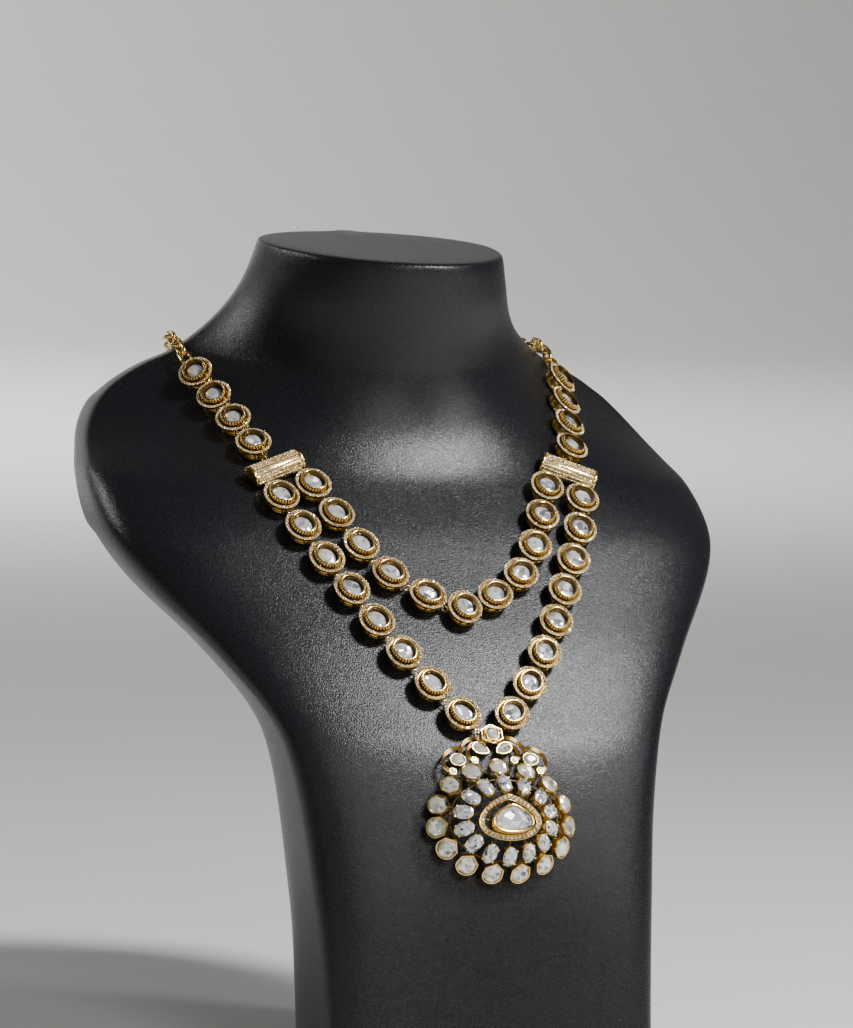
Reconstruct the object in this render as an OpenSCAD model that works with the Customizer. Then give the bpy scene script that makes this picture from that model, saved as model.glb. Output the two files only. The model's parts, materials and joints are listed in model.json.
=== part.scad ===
// Two-strand necklace of oval stone links with a domed pendant, hung on a plain neck bust.
// Millimetres. The origin is on the table under the middle, +Z is up and the front faces -Y.

/* [Bust] */
// Height from the base to the side corners of the neck's top
bust_h = 249; // [240:1:258]
// Width across the shoulders
bust_w = 203; // [196:1:210]
// Depth from the back of the shoulders to the front of the base
bust_d = 174; // [168:1:180]
// Depth of the base from front to back
base_d = 134; // [120:1:140]
// Width of the flat rib down the back
rib_w = 40; // [30:1:44]
// Angle at which the neck's top drops towards the front
neck_slope = 5; // [0:1:8]
// Radius of the rounding round the neck's top
neck_round = 1.6; // [0.8:0.2:2.4]

/* [Stone links] */
// Length of a link's stone-set rim, along the strand
link_l = 12.4; // [12:0.1:12.6]
// Width of a link's stone-set rim, across the strand
link_w = 11.3; // [10.8:0.1:11.4]
// Distance from one link to the next
pitch = 13.3; // [13.2:0.1:13.4]
// Width of the stone-set rim
rim_w = 1.9; // [1.6:0.1:2]
// Thickness of the stone-set rim
rim_t = 0.8; // [0.7:0.1:0.9]
// Height of the rim's upper face above the link's underside
rim_h = 4; // [3.9:0.1:4.4]
// Length of the cup that holds the large stone
cup_l = 8.2; // [7.9:0.1:8.3]
// Width of the cup that holds the large stone
cup_w = 7.1; // [6.8:0.1:7.2]
// Wall of a cup
cup_t = 0.45; // [0.35:0.05:0.55]
// How far the cup's edge stands above the rim
cup_rise = 1.6; // [1.4:0.1:1.7]
// Thickness of the rail round a link's underside
rail_t = 0.7; // [0.5:0.1:0.9]
// How far the rail stands out from the cup
rail_w = 0.8; // [0.7:0.1:0.9]
// Thickness of the small posts between rail and rim
post_d = 0.7; // [0.5:0.1:0.8]

/* [Joining rings] */
// Thickness of the wire of a joining ring
ring_wire = 0.5; // [0.4:0.05:0.5]
// Width of a joining ring from the middle of its wire to the middle
ring_d = 2.4; // [2.3:0.05:2.5]
// Width of the hole in a lug
lug_hole = 0.95; // [0.9:0.05:1]
// Metal left round the hole of a lug
lug_edge = 0.35; // [0.3:0.05:0.4]
// Thickness of a lug
lug_t = 0.45; // [0.35:0.05:0.5]
// Height of a lug's middle above the link's underside
lug_h = 1.65; // [1.6:0.05:1.7]

/* [Spacer bars] */
// Length of a spacer bar, across the two strands
spacer_l = 18.4; // [17.8:0.1:19]
// Width of a spacer bar, along the strands
spacer_w = 7.6; // [7.2:0.1:7.8]
// Height of a spacer bar
spacer_h = 4.4; // [4:0.1:4.8]
// Distance between the two lower lugs
strand_gap = 11.9; // [11.7:0.1:12.1]

/* [Back chain] */
// Length of a plain chain link
chain_l = 8; // [7.9:0.1:8.1]
// Width of a plain chain link
chain_w = 4.8; // [4.6:0.1:5]
// Thickness of a plain chain link's wire
chain_wire = 1.2; // [1.1:0.05:1.25]
// Length of the clasp's body
clasp_l = 12; // [11.5:0.1:12.5]
// Width of the clasp's body
clasp_w = 6; // [5:0.1:6.4]
// Thickness of the clasp's body
clasp_t = 3; // [2.6:0.1:3.2]

/* [Pendant] */
// Half the width of the ring of petals, to the petals' middles
petal_a = 21.3; // [21:0.1:21.5]
// Half the height of the ring of petals, to the petals' middles
petal_b = 16.4; // [16.2:0.1:16.6]
// Length of a petal, outwards
petal_l = 7.5; // [7.3:0.1:7.6]
// Width of a petal
petal_w = 6.6; // [6.4:0.1:6.7]
// Depth of a petal's cup
petal_h = 2.2; // [2:0.1:2.4]
// Height of the petals' edges above the pendant's underside
petal_up = 4.4; // [4.3:0.1:4.6]
// Angle at which petals and ovals face outwards
flare = 32; // [30:1:34]
// Half the width of the ring of ovals, to the ovals' middles
oval_a = 14.2; // [14:0.1:14.4]
// Half the height of the ring of ovals, to the ovals' middles
oval_b = 11.1; // [10.9:0.1:11.3]
// Length of an oval stone, outwards
oval_l = 6.7; // [6.4:0.1:6.8]
// Width of an oval stone
oval_w = 4.4; // [4.2:0.1:4.5]
// Height of the ovals' seats above the pendant's underside
oval_up = 8; // [7.8:0.1:8.2]
// Depth of an oval's seat
oval_h = 1.4; // [1.2:0.1:1.6]
// Width of the drop-shaped stone-set rim in the middle
drop_w = 20.2; // [19.8:0.1:20.4]
// Height of the drop-shaped rim
drop_h = 14.4; // [14.2:0.1:14.8]
// Width of the drop-shaped rim's band
drop_band = 1.8; // [1.6:0.1:2]
// Height of the drop-shaped rim above the pendant's underside
drop_up = 11; // [10.8:0.1:11.2]
// Width of the middle stone's cup
middle_w = 14; // [13.4:0.1:14.2]
// Height of the middle stone's cup, up the pendant
middle_h = 9; // [8.8:0.1:9.2]
// Height of the middle cup's edge above the pendant's underside
middle_up = 14; // [13.8:0.1:14.4]
// Thickness of the bars that join the settings
bar_d = 0.9; // [0.8:0.05:1]
// Thickness of the scroll wires
scroll_wire = 0.8; // [0.7:0.05:0.9]
// Width of a bead at a scroll's end
bead_d = 2.5; // [2.3:0.1:2.6]

/* [Hidden] */

gold = "goldenrod";
stone_colour = "whitesmoke";
clear = 0.15;            // gap between a stone and its cup
bust_clear = 0.25;       // gap between the links and the bust
eps = 0.05;              // overlap of pieces that are soldered together
back_y = 85.5;           // the flat back of the shoulders
foot_y = back_y - bust_d + base_d;

// Sections of the bust: height share, half width share, then depth shares forward of the back
// for the front middle and the side edge, the edge's thickness, and how round front and back are
bust_rows = [
    [0.000, 0.517, 1.000, 0.934, 0.178, 0.30, 8],
    [0.064, 0.520, 0.989, 0.914, 0.178, 0.30, 8],
    [0.169, 0.530, 0.968, 0.884, 0.172, 0.30, 8],
    [0.237, 0.544, 0.951, 0.854, 0.167, 0.30, 8],
    [0.317, 0.562, 0.921, 0.820, 0.161, 0.30, 8],
    [0.400, 0.598, 0.878, 0.781, 0.149, 0.29, 8],
    [0.446, 0.645, 0.832, 0.734, 0.144, 0.28, 8],
    [0.490, 0.722, 0.787, 0.667, 0.138, 0.28, 8],
    [0.528, 0.794, 0.746, 0.598, 0.132, 0.28, 8],
    [0.572, 0.892, 0.693, 0.506, 0.130, 0.28, 8],
    [0.616, 0.967, 0.638, 0.436, 0.126, 0.28, 8],
    [0.657, 1.000, 0.586, 0.372, 0.126, 0.28, 8],
    [0.710, 0.991, 0.511, 0.287, 0.121, 0.38, 8],
    [0.730, 0.972, 0.489, 0.247, 0.126, 0.58, 7],
    [0.764, 0.932, 0.463, 0.171, 0.126, 0.92, 6],
    [0.806, 0.853, 0.448, 0.121, 0.118, 1.28, 6],
    [0.843, 0.719, 0.445, 0.110, 0.110, 1.27, 4],
    [0.859, 0.627, 0.448, 0.115, 0.115, 1.10, 3],
    [0.900, 0.502, 0.457, 0.132, 0.132, 0.75, 2.4],
    [0.946, 0.424, 0.471, 0.155, 0.155, 0.50, 2],
    [1.000, 0.387, 0.483, 0.190, 0.190, 0.50, 2]];
row_steps = 2;           // rings of the bust's mesh to each pair of sections
front_steps = 16;        // points along one side of the front
back_shares = [0.985, 0.93, 0.82, 0.68, 0.52, 0.36, 0.18, 0];

// Routes of the strands over the chest, as distance from the middle and height
outer_route = [[0, 102.6], [7.7, 108.8], [15.8, 117.7], [22.9, 126.6], [29.3, 135.6], [34.8, 144.4],
               [40.4, 153.2], [45.2, 161.6], [49.2, 169.8], [52.8, 178.6]];
inner_route = [[0, 139.3], [6, 140.4], [12, 143.6], [22, 149.6], [28.9, 157.8], [34, 166.2],
               [38.6, 174.4], [43, 182.4]];
upper_route = [[48.3, 178.9], [51.9, 184.6], [54.7, 191.7], [57.3, 198.6], [59.7, 205.6], [61, 210]];
// Route of the plain chain over the shoulder and across the back, as shares of the bust's half width,
// of its depth behind the back and of its height
back_shape = [[0.6167, -0.138, 0.8675], [0.6148, -0.092, 0.8755], [0.597, -0.046, 0.8739],
              [0.5567, -0.0035, 0.8594], [0.4877, 0.0172, 0.8353], [0.3744, 0.0172, 0.8133],
              [0.2167, 0.0172, 0.7992], [0.0788, 0.0172, 0.7952], [0, 0.0172, 0.7952]];
back_route = [for (p = back_shape) [p.x * bust_w / 2, back_y + p.y * bust_d, p.z * bust_h]];
inner_count = 5;
outer_count = 8;
upper_count = 4;
back_count = 17;

lug_x = link_l / 2 - lug_hole / 2 - lug_edge + 0.07;
spacer_lug = spacer_w / 2 + lug_hole / 2;
pendant_drop = 22.9;     // how far the pendant's middle hangs below the lowest point of the strand
crown_drop = 7.3;        // and how far the foot of its crown
pendant_z = outer_route[0].y - pendant_drop;
crown_z = outer_route[0].y - crown_drop;
pendant_lift = 1.5;      // how far the pendant's underside is off the chest
lean = chest_lean(pendant_z, 20);                  // the pendant leans back as the chest behind it does
crown_lean = chest_lean(crown_z + 9, 4);           // and its crown as the steeper chest above it
petal_count = 15;
oval_count = 14;
pendant_at = [0, middle_y(pendant_z / bust_h) - pendant_lift, pendant_z];
crown_at = [0, middle_y(crown_z / bust_h) - pendant_lift, crown_z];
crown_h = 2.2;           // depth of the crown's cups
wire_h = crown_h - 0.6;  // height of the scroll wires' middles
bead_h = crown_h - 0.8;  // height of the beads' middles
cup_floor = 0.6;         // thickness of a pendant cup's floor
top_setting = [0, 9.8];  // places of the crown's settings, across and up
top_h = 4;
pear_setting = [3.7, 5.7];
pear_turn = 118;
side_setting = [11.8, 1.9];
inner_bead = [6.4, 1.6];
outer_bead = [14.2, -2.2];
inner_scroll = [[1.9, 7.4], [4.4, 7.9], [6.6, 7.1], [8.1, 5.1], [8.1, 3], [6.9, 1.8]];
outer_scroll = [[2.4, 8.8], [5.2, 9.5], [7.9, 8.6], [9.8, 6.4], [10.8, 3.7]];
side_scroll = [[10, 5.8], [12.6, 5.8], [15, 4.5], [16.5, 2.2], [16.5, -0.2], [15.2, -1.8]];
end_ring_d = 2.6;        // the larger ring between the last stone link and the plain chain

// General helpers
function unit(v) = v / norm(v);
function frame(t, n, p) = let (b = unit(cross(n, t)), m = unit(cross(t, b)))
    [[t.x, b.x, m.x, p.x], [t.y, b.y, m.y, p.y], [t.z, b.z, m.z, p.z], [0, 0, 0, 1]];
function place(m, v) = let (r = m * [v.x, v.y, v.z, 1]) [r.x, r.y, r.z];
function oval_ring(a, b, count, turn = 0) =
    [for (i = [0 : count - 1]) let (f = turn + i * 360 / count) [a * cos(f), b * sin(f)]];
function curve(p, i, u) = let (
    last = len(p) - 1, b = p[i], c = p[i + 1],
    a = i == 0 ? 2 * b - c : p[i - 1], d = i == last - 1 ? 2 * c - b : p[i + 2])
    0.5 * (2 * b + (c - a) * u + (2 * a - 5 * b + 4 * c - d) * u * u + (3 * b - a - 3 * c + d) * u * u * u);
function smooth(p, steps) =
    [for (i = [0 : len(p) - 2]) for (k = [0 : steps - 1]) curve(p, i, k / steps), p[len(p) - 1]];

function inset(line, gap) = let (n = len(line)) [for (i = [0 : n - 1]) let (
    a = line[(i + n - 1) % n], b = line[i], c = line[(i + 1) % n], u = unit(b - a), v = unit(c - b),
    p = [-u.y, u.x], q = [-v.y, v.x]) b + (p + q) * gap / (1 + p * q)];

// Shape of the bust
function row_slope(i, c) = let (
    a = bust_rows[max(0, i - 1)], b = bust_rows[min(len(bust_rows) - 1, i + 1)])
    (b[c] - a[c]) / (b[0] - a[0]);
function row_index(f) = max(0, min(len(bust_rows) - 2, len([for (r = bust_rows) if (r[0] <= f) 1]) - 1));
function bust_share(f, c) = let (
    i = row_index(f), a = bust_rows[i], b = bust_rows[i + 1], h = b[0] - a[0], u = (f - a[0]) / h)
    a[c] * (1 + 2 * u) * pow(1 - u, 2) + b[c] * u * u * (3 - 2 * u)
    + h * u * (1 - u) * (row_slope(i, c) * (1 - u) - row_slope(i + 1, c) * u);
function half_width(f) = bust_share(f, 1) * bust_w / 2;
function middle_y(f) = back_y - bust_share(f, 2) * bust_d;
function edge_y(f) = back_y - bust_share(f, 3) * bust_d;
function wall_y(f) = edge_y(f) + bust_share(f, 4) * bust_d;
function front_y(x, f) = let (t = min(1, abs(x) / half_width(f)))
    middle_y(f) + (edge_y(f) - middle_y(f)) * (1 - pow(1 - t * t, bust_share(f, 5)));
function rear_y(x, f) = let (
    w = half_width(f), t = min(1, abs(x) / w), m = bust_share(f, 6), rib = max(0, foot_y - wall_y(f)))
    edge_y(f) + (wall_y(f) - edge_y(f)) * pow(1 - pow(t, m), 1 / m)
    + rib * min(1, (w - abs(x)) / (w - rib_w / 2));
function chest_lean(z, reach) =
    atan((middle_y((z + reach) / bust_h) - middle_y((z - reach) / bust_h)) / 2 / reach);
function chest(x, z) = [x, front_y(x, z / bust_h), z];
function chest_out(x, z) = let (d = 0.5)
    unit([(front_y(x + d, z / bust_h) - front_y(x - d, z / bust_h)) / 2 / d, -1,
          (front_y(x, (z + d) / bust_h) - front_y(x, (z - d) / bust_h)) / 2 / d]);

// Places along a strand
function chest_path(route, gap = bust_clear) =
    [for (p = smooth(route, 6)) chest(p.x, p.y) + gap * chest_out(p.x, p.y)];
function lengths(path, i = 0, sum = 0) = i == len(path) - 1 ? [sum]
    : concat([sum], lengths(path, i + 1, sum + norm(path[i + 1] - path[i])));
function tables(path) = let (s = lengths(path))
    [for (c = [0 : 2]) [for (i = [0 : len(path) - 1]) [s[i], path[i][c]]]];
function along(tab, s) = [lookup(s, tab[0]), lookup(s, tab[1]), lookup(s, tab[2])];
function heading(tab, s) = unit(along(tab, s + 2) - along(tab, s - 2));
function chest_frame(tab, s) = let (p = along(tab, s)) frame(heading(tab, s), chest_out(p.x, p.z), p);

outer_tab = tables(chest_path(outer_route));
inner_tab = tables(chest_path(inner_route));
upper_tab = tables(chest_path(upper_route, 2 * bust_clear));
first_outer = 11.3;                                // from the pendant's top setting to the first link
first_inner = pitch - (link_l - link_w) / 2 - 0.4; // the middle link is set crosswise
crosswise_lug = lug_x - (link_l - link_w) / 2;
outer_frames = [for (i = [0 : outer_count - 1]) chest_frame(outer_tab, first_outer + i * pitch)];
inner_frames = [for (i = [0 : inner_count - 1]) chest_frame(inner_tab, first_inner + i * pitch)];
middle_frame = let (p = along(inner_tab, 0), n = chest_out(0, p.z)) frame(cross(n, [1, 0, 0]), n, p);
spacer_place = 0.85;     // how far up its route the spacer bar lies
first_upper = spacer_place + spacer_lug + ring_d + lug_x - 0.15;
upper_frames = [for (i = [0 : upper_count - 1]) chest_frame(upper_tab, first_upper + i * pitch)];
spacer_cap = 0.9;        // thickness of a spacer bar's end caps
spacer_cap_out = 0.25;   // how far the caps stand out from the bar
spacer_lift = 0.5;       // the straight bar stands a little off the round chest
spacer_lug_h = lug_h - spacer_lift - 0.2;
spacer_frame = let (p = along(upper_tab, spacer_place), n = chest_out(p.x, p.z))
    frame(heading(upper_tab, 2), n, p + spacer_lift * n);

stone_up = 0.75;         // height of a large stone's table above its girdle
girdle_sink = 1.8;       // how far the girdle lies below the cup's edge
cup_deep = 3.2;          // depth of a link's cup

// A stone with a flat table, a girdle and a smaller underside, over any outline
module cut_stone(outline, up, down, table = 0.55, under = 0.75) {
    n = len(outline);
    rings = [[for (p = outline) [p.x * under, p.y * under, -down]], [for (p = outline) [p.x, p.y, 0]],
             [for (p = outline) [p.x * table, p.y * table, up]]];
    polyhedron(
        points = [for (r = rings) each r],
        faces = concat(
            [[for (i = [0 : n - 1]) i]],
            [for (k = [0, 1]) for (i = [0 : n - 1]) [k * n + i, (k + 1) * n + i, (k + 1) * n + (i + 1) % n]],
            [for (k = [0, 1]) for (i = [0 : n - 1])
                [k * n + i, (k + 1) * n + (i + 1) % n, k * n + (i + 1) % n]],
            [[for (i = [n - 1 : -1 : 0]) 2 * n + i]]));
}

module cup(outline, h, floor_h, wall) {
    difference() {
        linear_extrude(h) polygon(outline);
        translate([0, 0, floor_h]) linear_extrude(h) offset(delta = -wall) polygon(outline);
    }
}

module bar(a, b, d, sides = 6) {
    v = b - a;
    translate(a) rotate([0, acos(v.z / norm(v)), atan2(v.y, v.x)]) cylinder(h = norm(v), d = d, $fn = sides);
}

module lug(x) {
    difference() {
        union() {
            translate([0, -lug_hole / 2 - lug_edge, -lug_t / 2]) cube([x, lug_hole + 2 * lug_edge, lug_t]);
            translate([x, 0, -lug_t / 2]) cylinder(h = lug_t, r = lug_hole / 2 + lug_edge, $fn = 24);
        }
        translate([x, 0, -lug_t]) cylinder(h = 2 * lug_t, d = lug_hole, $fn = 24);
    }
}

// The bust, as rings of points from the base to the neck's top
function front_share(i, q) =
    let (c = pow(cos(90 * i / front_steps), (1 + 2 * q) / 2)) sqrt(1 - pow(c, 1 / q));
function bust_side(f) = let (w = half_width(f), q = bust_share(f, 5)) concat(
    [for (i = [0 : front_steps])
        let (x = w * front_share(i, q)) [x, i == front_steps ? edge_y(f) : front_y(x, f)]],
    [for (t = back_shares) [w * t, rear_y(w * t, f)]]);
function bust_ring(f, shrink = 0) = let (
    half = bust_side(f), n = len(half), drop = tan(neck_slope) * max(0, (f - 0.86) / 0.14),
    ring = concat(half, [for (i = [n - 2 : -1 : 1]) [-half[i].x, half[i].y]]), mid = (edge_y(f) + back_y) / 2)
    [for (p = ring) [p.x * (1 - shrink / half_width(f)), mid + (p.y - mid) * (1 - shrink / half_width(f)),
                     f * bust_h - drop * (edge_y(1) - p.y)]];
function side_faces(a, b, n, right) =
    right ? [[a, a + n, b + n], [a, b + n, b]] : [[a, a + n, b], [b, a + n, b + n]];
module bust() {
    last = len(bust_rows) - 1;
    shares = [for (i = [0 : last - 1]) for (k = [0 : row_steps - 1])
              bust_rows[i][0] + (bust_rows[i + 1][0] - bust_rows[i][0]) * k / row_steps];
    lift = [0, 0, neck_round];
    rings = concat([for (f = shares) bust_ring(f)],
                   [bust_ring(1), [for (p = bust_ring(1, neck_round * 0.3)) p + lift * 0.7],
                    [for (p = bust_ring(1, neck_round)) p + lift]]);
    n = len(rings[0]);
    m = len(rings);
    color([0.08, 0.08, 0.09]) polyhedron(
        points = [for (r = rings) each r],
        faces = concat(
            [[for (i = [0 : n - 1]) i]],
            [for (k = [0 : m - 2]) for (i = [0 : n - 1])
                each side_faces(k * n + i, k * n + (i + 1) % n, n, i < n / 2)],
            [[for (i = [n - 1 : -1 : 0]) (m - 1) * n + i]]));
}

// One stone link, lying on its underside with the strand along X
module setting(crosswise = false) {
    cup_line = oval_ring(cup_l / 2, cup_w / 2, 20, 9);
    rail_line = oval_ring(cup_l / 2 + rail_w, cup_w / 2 + rail_w, 20, 9);
    rim_line = oval_ring(link_l / 2, link_w / 2, 24, 7.5);
    hole_line = oval_ring(link_l / 2 - rim_w, link_w / 2 - rim_w, 24, 7.5);
    cup(cup_line, rim_h + cup_rise, rim_h + cup_rise - cup_deep, cup_t);
    linear_extrude(rail_t) difference() {
        polygon(rail_line);
        offset(delta = -cup_t) polygon(cup_line);
    }
    translate([0, 0, rim_h - rim_t]) linear_extrude(rim_t) difference() {
        polygon(rim_line);
        polygon(hole_line);
    }
    for (p = oval_ring(cup_l / 2 + rail_w - post_d / 3, cup_w / 2 + rail_w - post_d / 3, 8, 22.5))
        translate([p.x, p.y, rail_t - eps])
            cylinder(h = rim_h - rim_t - rail_t + 2 * eps, d = post_d, $fn = 6);
    for (side = [0, 180])
        rotate(side + (crosswise ? 90 : 0)) translate([0, 0, lug_h])
            setting_lug(crosswise ? cup_w / 2 : cup_l / 2, crosswise ? crosswise_lug : lug_x);
}

module setting_lug(from, x) {
    translate([from - cup_t / 2, 0, 0]) lug(x - from + cup_t / 2);
}

module setting_stone() {
    translate([0, 0, rim_h + cup_rise - girdle_sink])
        cut_stone(oval_ring(cup_l / 2 - cup_t - clear, cup_w / 2 - cup_t - clear, 12, 15), stone_up, 0.7);
}

module links(frames) {
    color(gold) for (m = frames) multmatrix(m) setting();
}

module stones(frames) {
    color(stone_colour) for (m = frames) multmatrix(m) setting_stone();
}

module both_sides() {
    children();
    mirror([1, 0, 0]) children();
}

module upper_links_right() { links(upper_frames); }
module upper_links_left() { mirror([1, 0, 0]) links(upper_frames); }
module upper_stones() { both_sides() stones(upper_frames); }
module outer_links_right() { links(outer_frames); }
module outer_links_left() { mirror([1, 0, 0]) links(outer_frames); }
module outer_stones() { both_sides() stones(outer_frames); }
module inner_links() {
    both_sides() links(inner_frames);
    color(gold) multmatrix(middle_frame) setting(crosswise = true);
}
module inner_stones() {
    both_sides() stones(inner_frames);
    color(stone_colour) multmatrix(middle_frame) setting_stone();
}

// Spacer bar, half round, lying on its flat side with the strands along X
function bar_section(more) = concat(
    [for (f = [0 : 15 : 180])
        [(spacer_w / 2 + more) * cos(f), rail_t + (spacer_h + more - rail_t) * sin(f)]],
    [[-spacer_w / 2 - more, 0], [spacer_w / 2 + more, 0]]);
module spacer_bar() {
    rotate([90, 0, 0]) translate([0, 0, -spacer_l / 2]) linear_extrude(spacer_l) polygon(bar_section(0));
    for (end = [0, 1]) mirror([0, end, 0])
        rotate([90, 0, 0]) translate([0, 0, spacer_l / 2 - spacer_cap]) linear_extrude(spacer_cap)
            polygon(bar_section(spacer_cap_out));
    translate([0, 0, spacer_lug_h]) lug(spacer_lug);
    for (side = [-1, 1])
        translate([0, side * strand_gap / 2, spacer_lug_h]) rotate(180) lug(spacer_lug);
}

module spacer_right() { color(gold) multmatrix(spacer_frame) spacer_bar(); }
module spacer_left() { mirror([1, 0, 0]) spacer_right(); }

// Joining rings, each through the holes of the two lugs that it holds together
module ring_between(a, b, n, d = ring_d) {
    multmatrix(frame(unit(b - a), n, (a + b) / 2)) rotate([90, 0, 0])
        rotate_extrude($fn = 32) translate([d / 2, 0]) circle(d = ring_wire, $fn = 24);
}

function hole(m, x, y = 0, z = lug_h) = place(m, [x, y, z]);
function outwards(m) = [m[0][2], m[1][2], m[2][2]];
module strand_rings(frames) {
    for (i = [0 : len(frames) - 2])
        ring_between(hole(frames[i], lug_x), hole(frames[i + 1], -lug_x),
                     outwards(frames[i]) + outwards(frames[i + 1]));
}

module side_rings() {
    strand_rings(upper_frames);
    strand_rings(inner_frames);
    strand_rings(outer_frames);
    n = outwards(spacer_frame);
    ring_between(hole(spacer_frame, spacer_lug, 0, spacer_lug_h), hole(upper_frames[0], -lug_x), n);
    ring_between(hole(outer_frames[outer_count - 1], lug_x),
                 hole(spacer_frame, -spacer_lug, -strand_gap / 2, spacer_lug_h), n);
    ring_between(hole(inner_frames[inner_count - 1], lug_x),
                 hole(spacer_frame, -spacer_lug, strand_gap / 2, spacer_lug_h), n);
    ring_between(hole(middle_frame, 0, -crosswise_lug), hole(inner_frames[0], -lug_x),
                 outwards(middle_frame));
    ring_between(pendant_eye, hole(outer_frames[0], -lug_x), outwards(outer_frames[0]));
    ring_between(last_lug, along(back_tab, end_ring_d + 0.2),
                 outwards(upper_frames[upper_count - 1]), end_ring_d);
}
module joining_rings() { color(gold) both_sides() side_rings(); }

// Plain chain round the back, from the ring behind the last stone link to the clasp
last_lug = hole(upper_frames[upper_count - 1], lug_x);
back_path = smooth(concat([last_lug], back_route), 6);
back_tab = tables(back_path);
back_length = lengths(back_path)[len(back_path) - 1];
clasp_eye = clasp_l / 2 + chain_wire + 0.1;
first_chain = end_ring_d + 0.1 - ring_wire / 2 - chain_wire / 2 - clear + chain_l / 2 - chain_wire / 2;
last_chain = back_length - clasp_eye - chain_l / 2 + chain_wire / 2;
chain_step = (last_chain - first_chain) / (back_count - 1);
turn_depth = 9;          // over this depth the chain turns from lying on the shoulder to hanging behind it
function back_out(p) = let (behind = (p.y - back_y) / turn_depth)
    unit([0, max(-1, min(1, behind + 1.28)), max(0.15, min(1, 0.5 - behind))]);
function back_frame(s) = let (p = along(back_tab, s)) frame(heading(back_tab, s), back_out(p), p);

module chain_link() {
    for (end = [-1, 1]) {
        translate([end * (chain_l - chain_w) / 2, 0, 0]) rotate(end * 90 - 90)
            rotate([0, 0, -90]) rotate_extrude(angle = 180, $fn = 32)
                translate([(chain_w - chain_wire) / 2, 0]) circle(d = chain_wire, $fn = 24);
        translate([-(chain_l - chain_w) / 2, end * (chain_w - chain_wire) / 2, 0]) rotate([0, 90, 0])
            cylinder(h = chain_l - chain_w, d = chain_wire, $fn = 24);
    }
}

module back_chain_right() {
    color(gold) for (i = [0 : back_count - 1])
        multmatrix(back_frame(first_chain + i * chain_step)) rotate([i % 2 * 90, 0, 0]) chain_link();
}
module back_chain_left() { mirror([1, 0, 0]) back_chain_right(); }

module clasp() {
    p = back_route[len(back_route) - 1];
    color(gold) translate(p) rotate([90, 0, 0]) {
        translate([0, 0, -clasp_t / 2]) linear_extrude(clasp_t)
            polygon(oval_ring(clasp_l / 2, clasp_w / 2, 24, 7.5));
        for (side = [0, 180]) rotate(side) difference() {
            rotate([90, 0, 0]) translate([0, 0, -chain_wire / 2]) linear_extrude(chain_wire) {
                translate([clasp_l / 3, -clasp_t / 2]) square([clasp_eye - clasp_l / 3, clasp_t]);
                translate([clasp_eye, 0]) circle(d = clasp_t + 0.4, $fn = 24);
            }
            translate([clasp_eye, chain_wire, 0]) rotate([90, 0, 0])
                cylinder(h = 2 * chain_wire, d = chain_wire + 6 * clear, $fn = 24);
        }
    }
}

// Pendant
module at_pendant() { translate(pendant_at) rotate([90 - lean, 0, 0]) children(); }
module at_crown() { translate(crown_at) rotate([90 - crown_lean, 0, 0]) children(); }
function leaning(at, angle, v) =
    at + [v.x, v.y * sin(angle) - v.z * cos(angle), v.y * cos(angle) + v.z * sin(angle)];
stem_r = 1.9;
eye_turn = 20.5;         // direction of the pendant's two eyes
eye_x = 3.25;            // distance of an eye from the middle of the top setting
eye_h = 1.8;
pendant_eye = leaning(crown_at, crown_lean,
                      [top_setting.x + eye_x * cos(eye_turn), top_setting.y + eye_x * sin(eye_turn), eye_h]);
petal_shift = -0.8;      // the rings sit a little below the pendant's middle
oval_shift = -1.3;
drop_shift = -0.9;
middle_shift = -1.7;
petal_joints = [[7.6, 16.3, 1.8], [15.1, 12.4, 2]];
low_flare = 8;           // how much more the lowest petals face outwards than the highest
function ring_spot(a, b, f, shift) = [a * sin(f), b * cos(f) + shift];
function ring_turn(a, b, f) = atan2(cos(f) / b, sin(f) / a);
petal_line = concat([[-0.5, 0], [-0.28, -0.45]],
                    [for (f = [-80 : 20 : 80]) [0.08 + 0.42 * cos(f), 0.5 * sin(f)]],
                    [[-0.28, 0.45]]);
petal_outline = [for (p = petal_line) [p.x * petal_l, p.y * petal_w]];
hoop_up = 5.1;           // height of the hoop that joins petals and ovals
seat_w = 0.6;            // width of the ring that an oval sits on
prong_d = 0.6;
prong_up = 0.9;
drop_sharp = 0.45;       // how pointed the drop-shaped rim and middle stone are
drop_t = 1.2;            // thickness of the drop-shaped rim
middle_t = cup_t + 0.15; // wall of the middle cup
seat_outline = oval_ring(oval_l / 2, oval_w / 2, 16, 11.25);
small_up = 0.7;          // height of the pendant's smaller stones above their girdles
small_down = 0.6;        // and their depth below
petal_sink = 0.35;       // how far a petal stone's girdle lies below its cup's edge
oval_edge = 0.35;        // how far an oval's seat stands out round its stone
oval_lift = 0.75;        // height of an oval stone's girdle above its seat
middle_sink = 0.5;       // how far the middle stone's girdle lies below its cup's edge
middle_rise = 1.2;       // height of the middle stone above its girdle
crown_sink = 0.3;        // how far the crown stones' girdles lie below their cups' edges
function drop_line(w, h, sharp, count = 24) =
    [for (i = [0 : count - 1]) let (f = -i * 360 / count)
     [w / 1.75 * sin(f) * pow(abs(sin(f / 2)), sharp), h / 2 * cos(f)]];
drop_outline = drop_line(drop_w, drop_h, drop_sharp);
middle_outline = drop_line(middle_w, middle_h, drop_sharp);
pear_outline = drop_line(4, 5.8, 0.5, 16);
top_outline = [[0, 3.2], [-3.4, 1.5], [-3.4, -1.5], [0, -3.2], [3.4, -1.5], [3.4, 1.5]];
side_outline = oval_ring(2.6, 2.2, 16, 11.25);

module on_ring(a, b, count, up, shift) {
    for (i = [0 : count - 1]) let (f = i * 360 / count, p = ring_spot(a, b, f, shift))
        translate([p.x, p.y, up]) rotate(ring_turn(a, b, f))
            rotate([0, flare + low_flare * (1 - cos(f)) / 2, 0]) children();
}

module wire(points, z, d) {
    for (i = [0 : len(points) - 2])
        bar([points[i].x, points[i].y, z], [points[i + 1].x, points[i + 1].y, z], d, 8);
}

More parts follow.
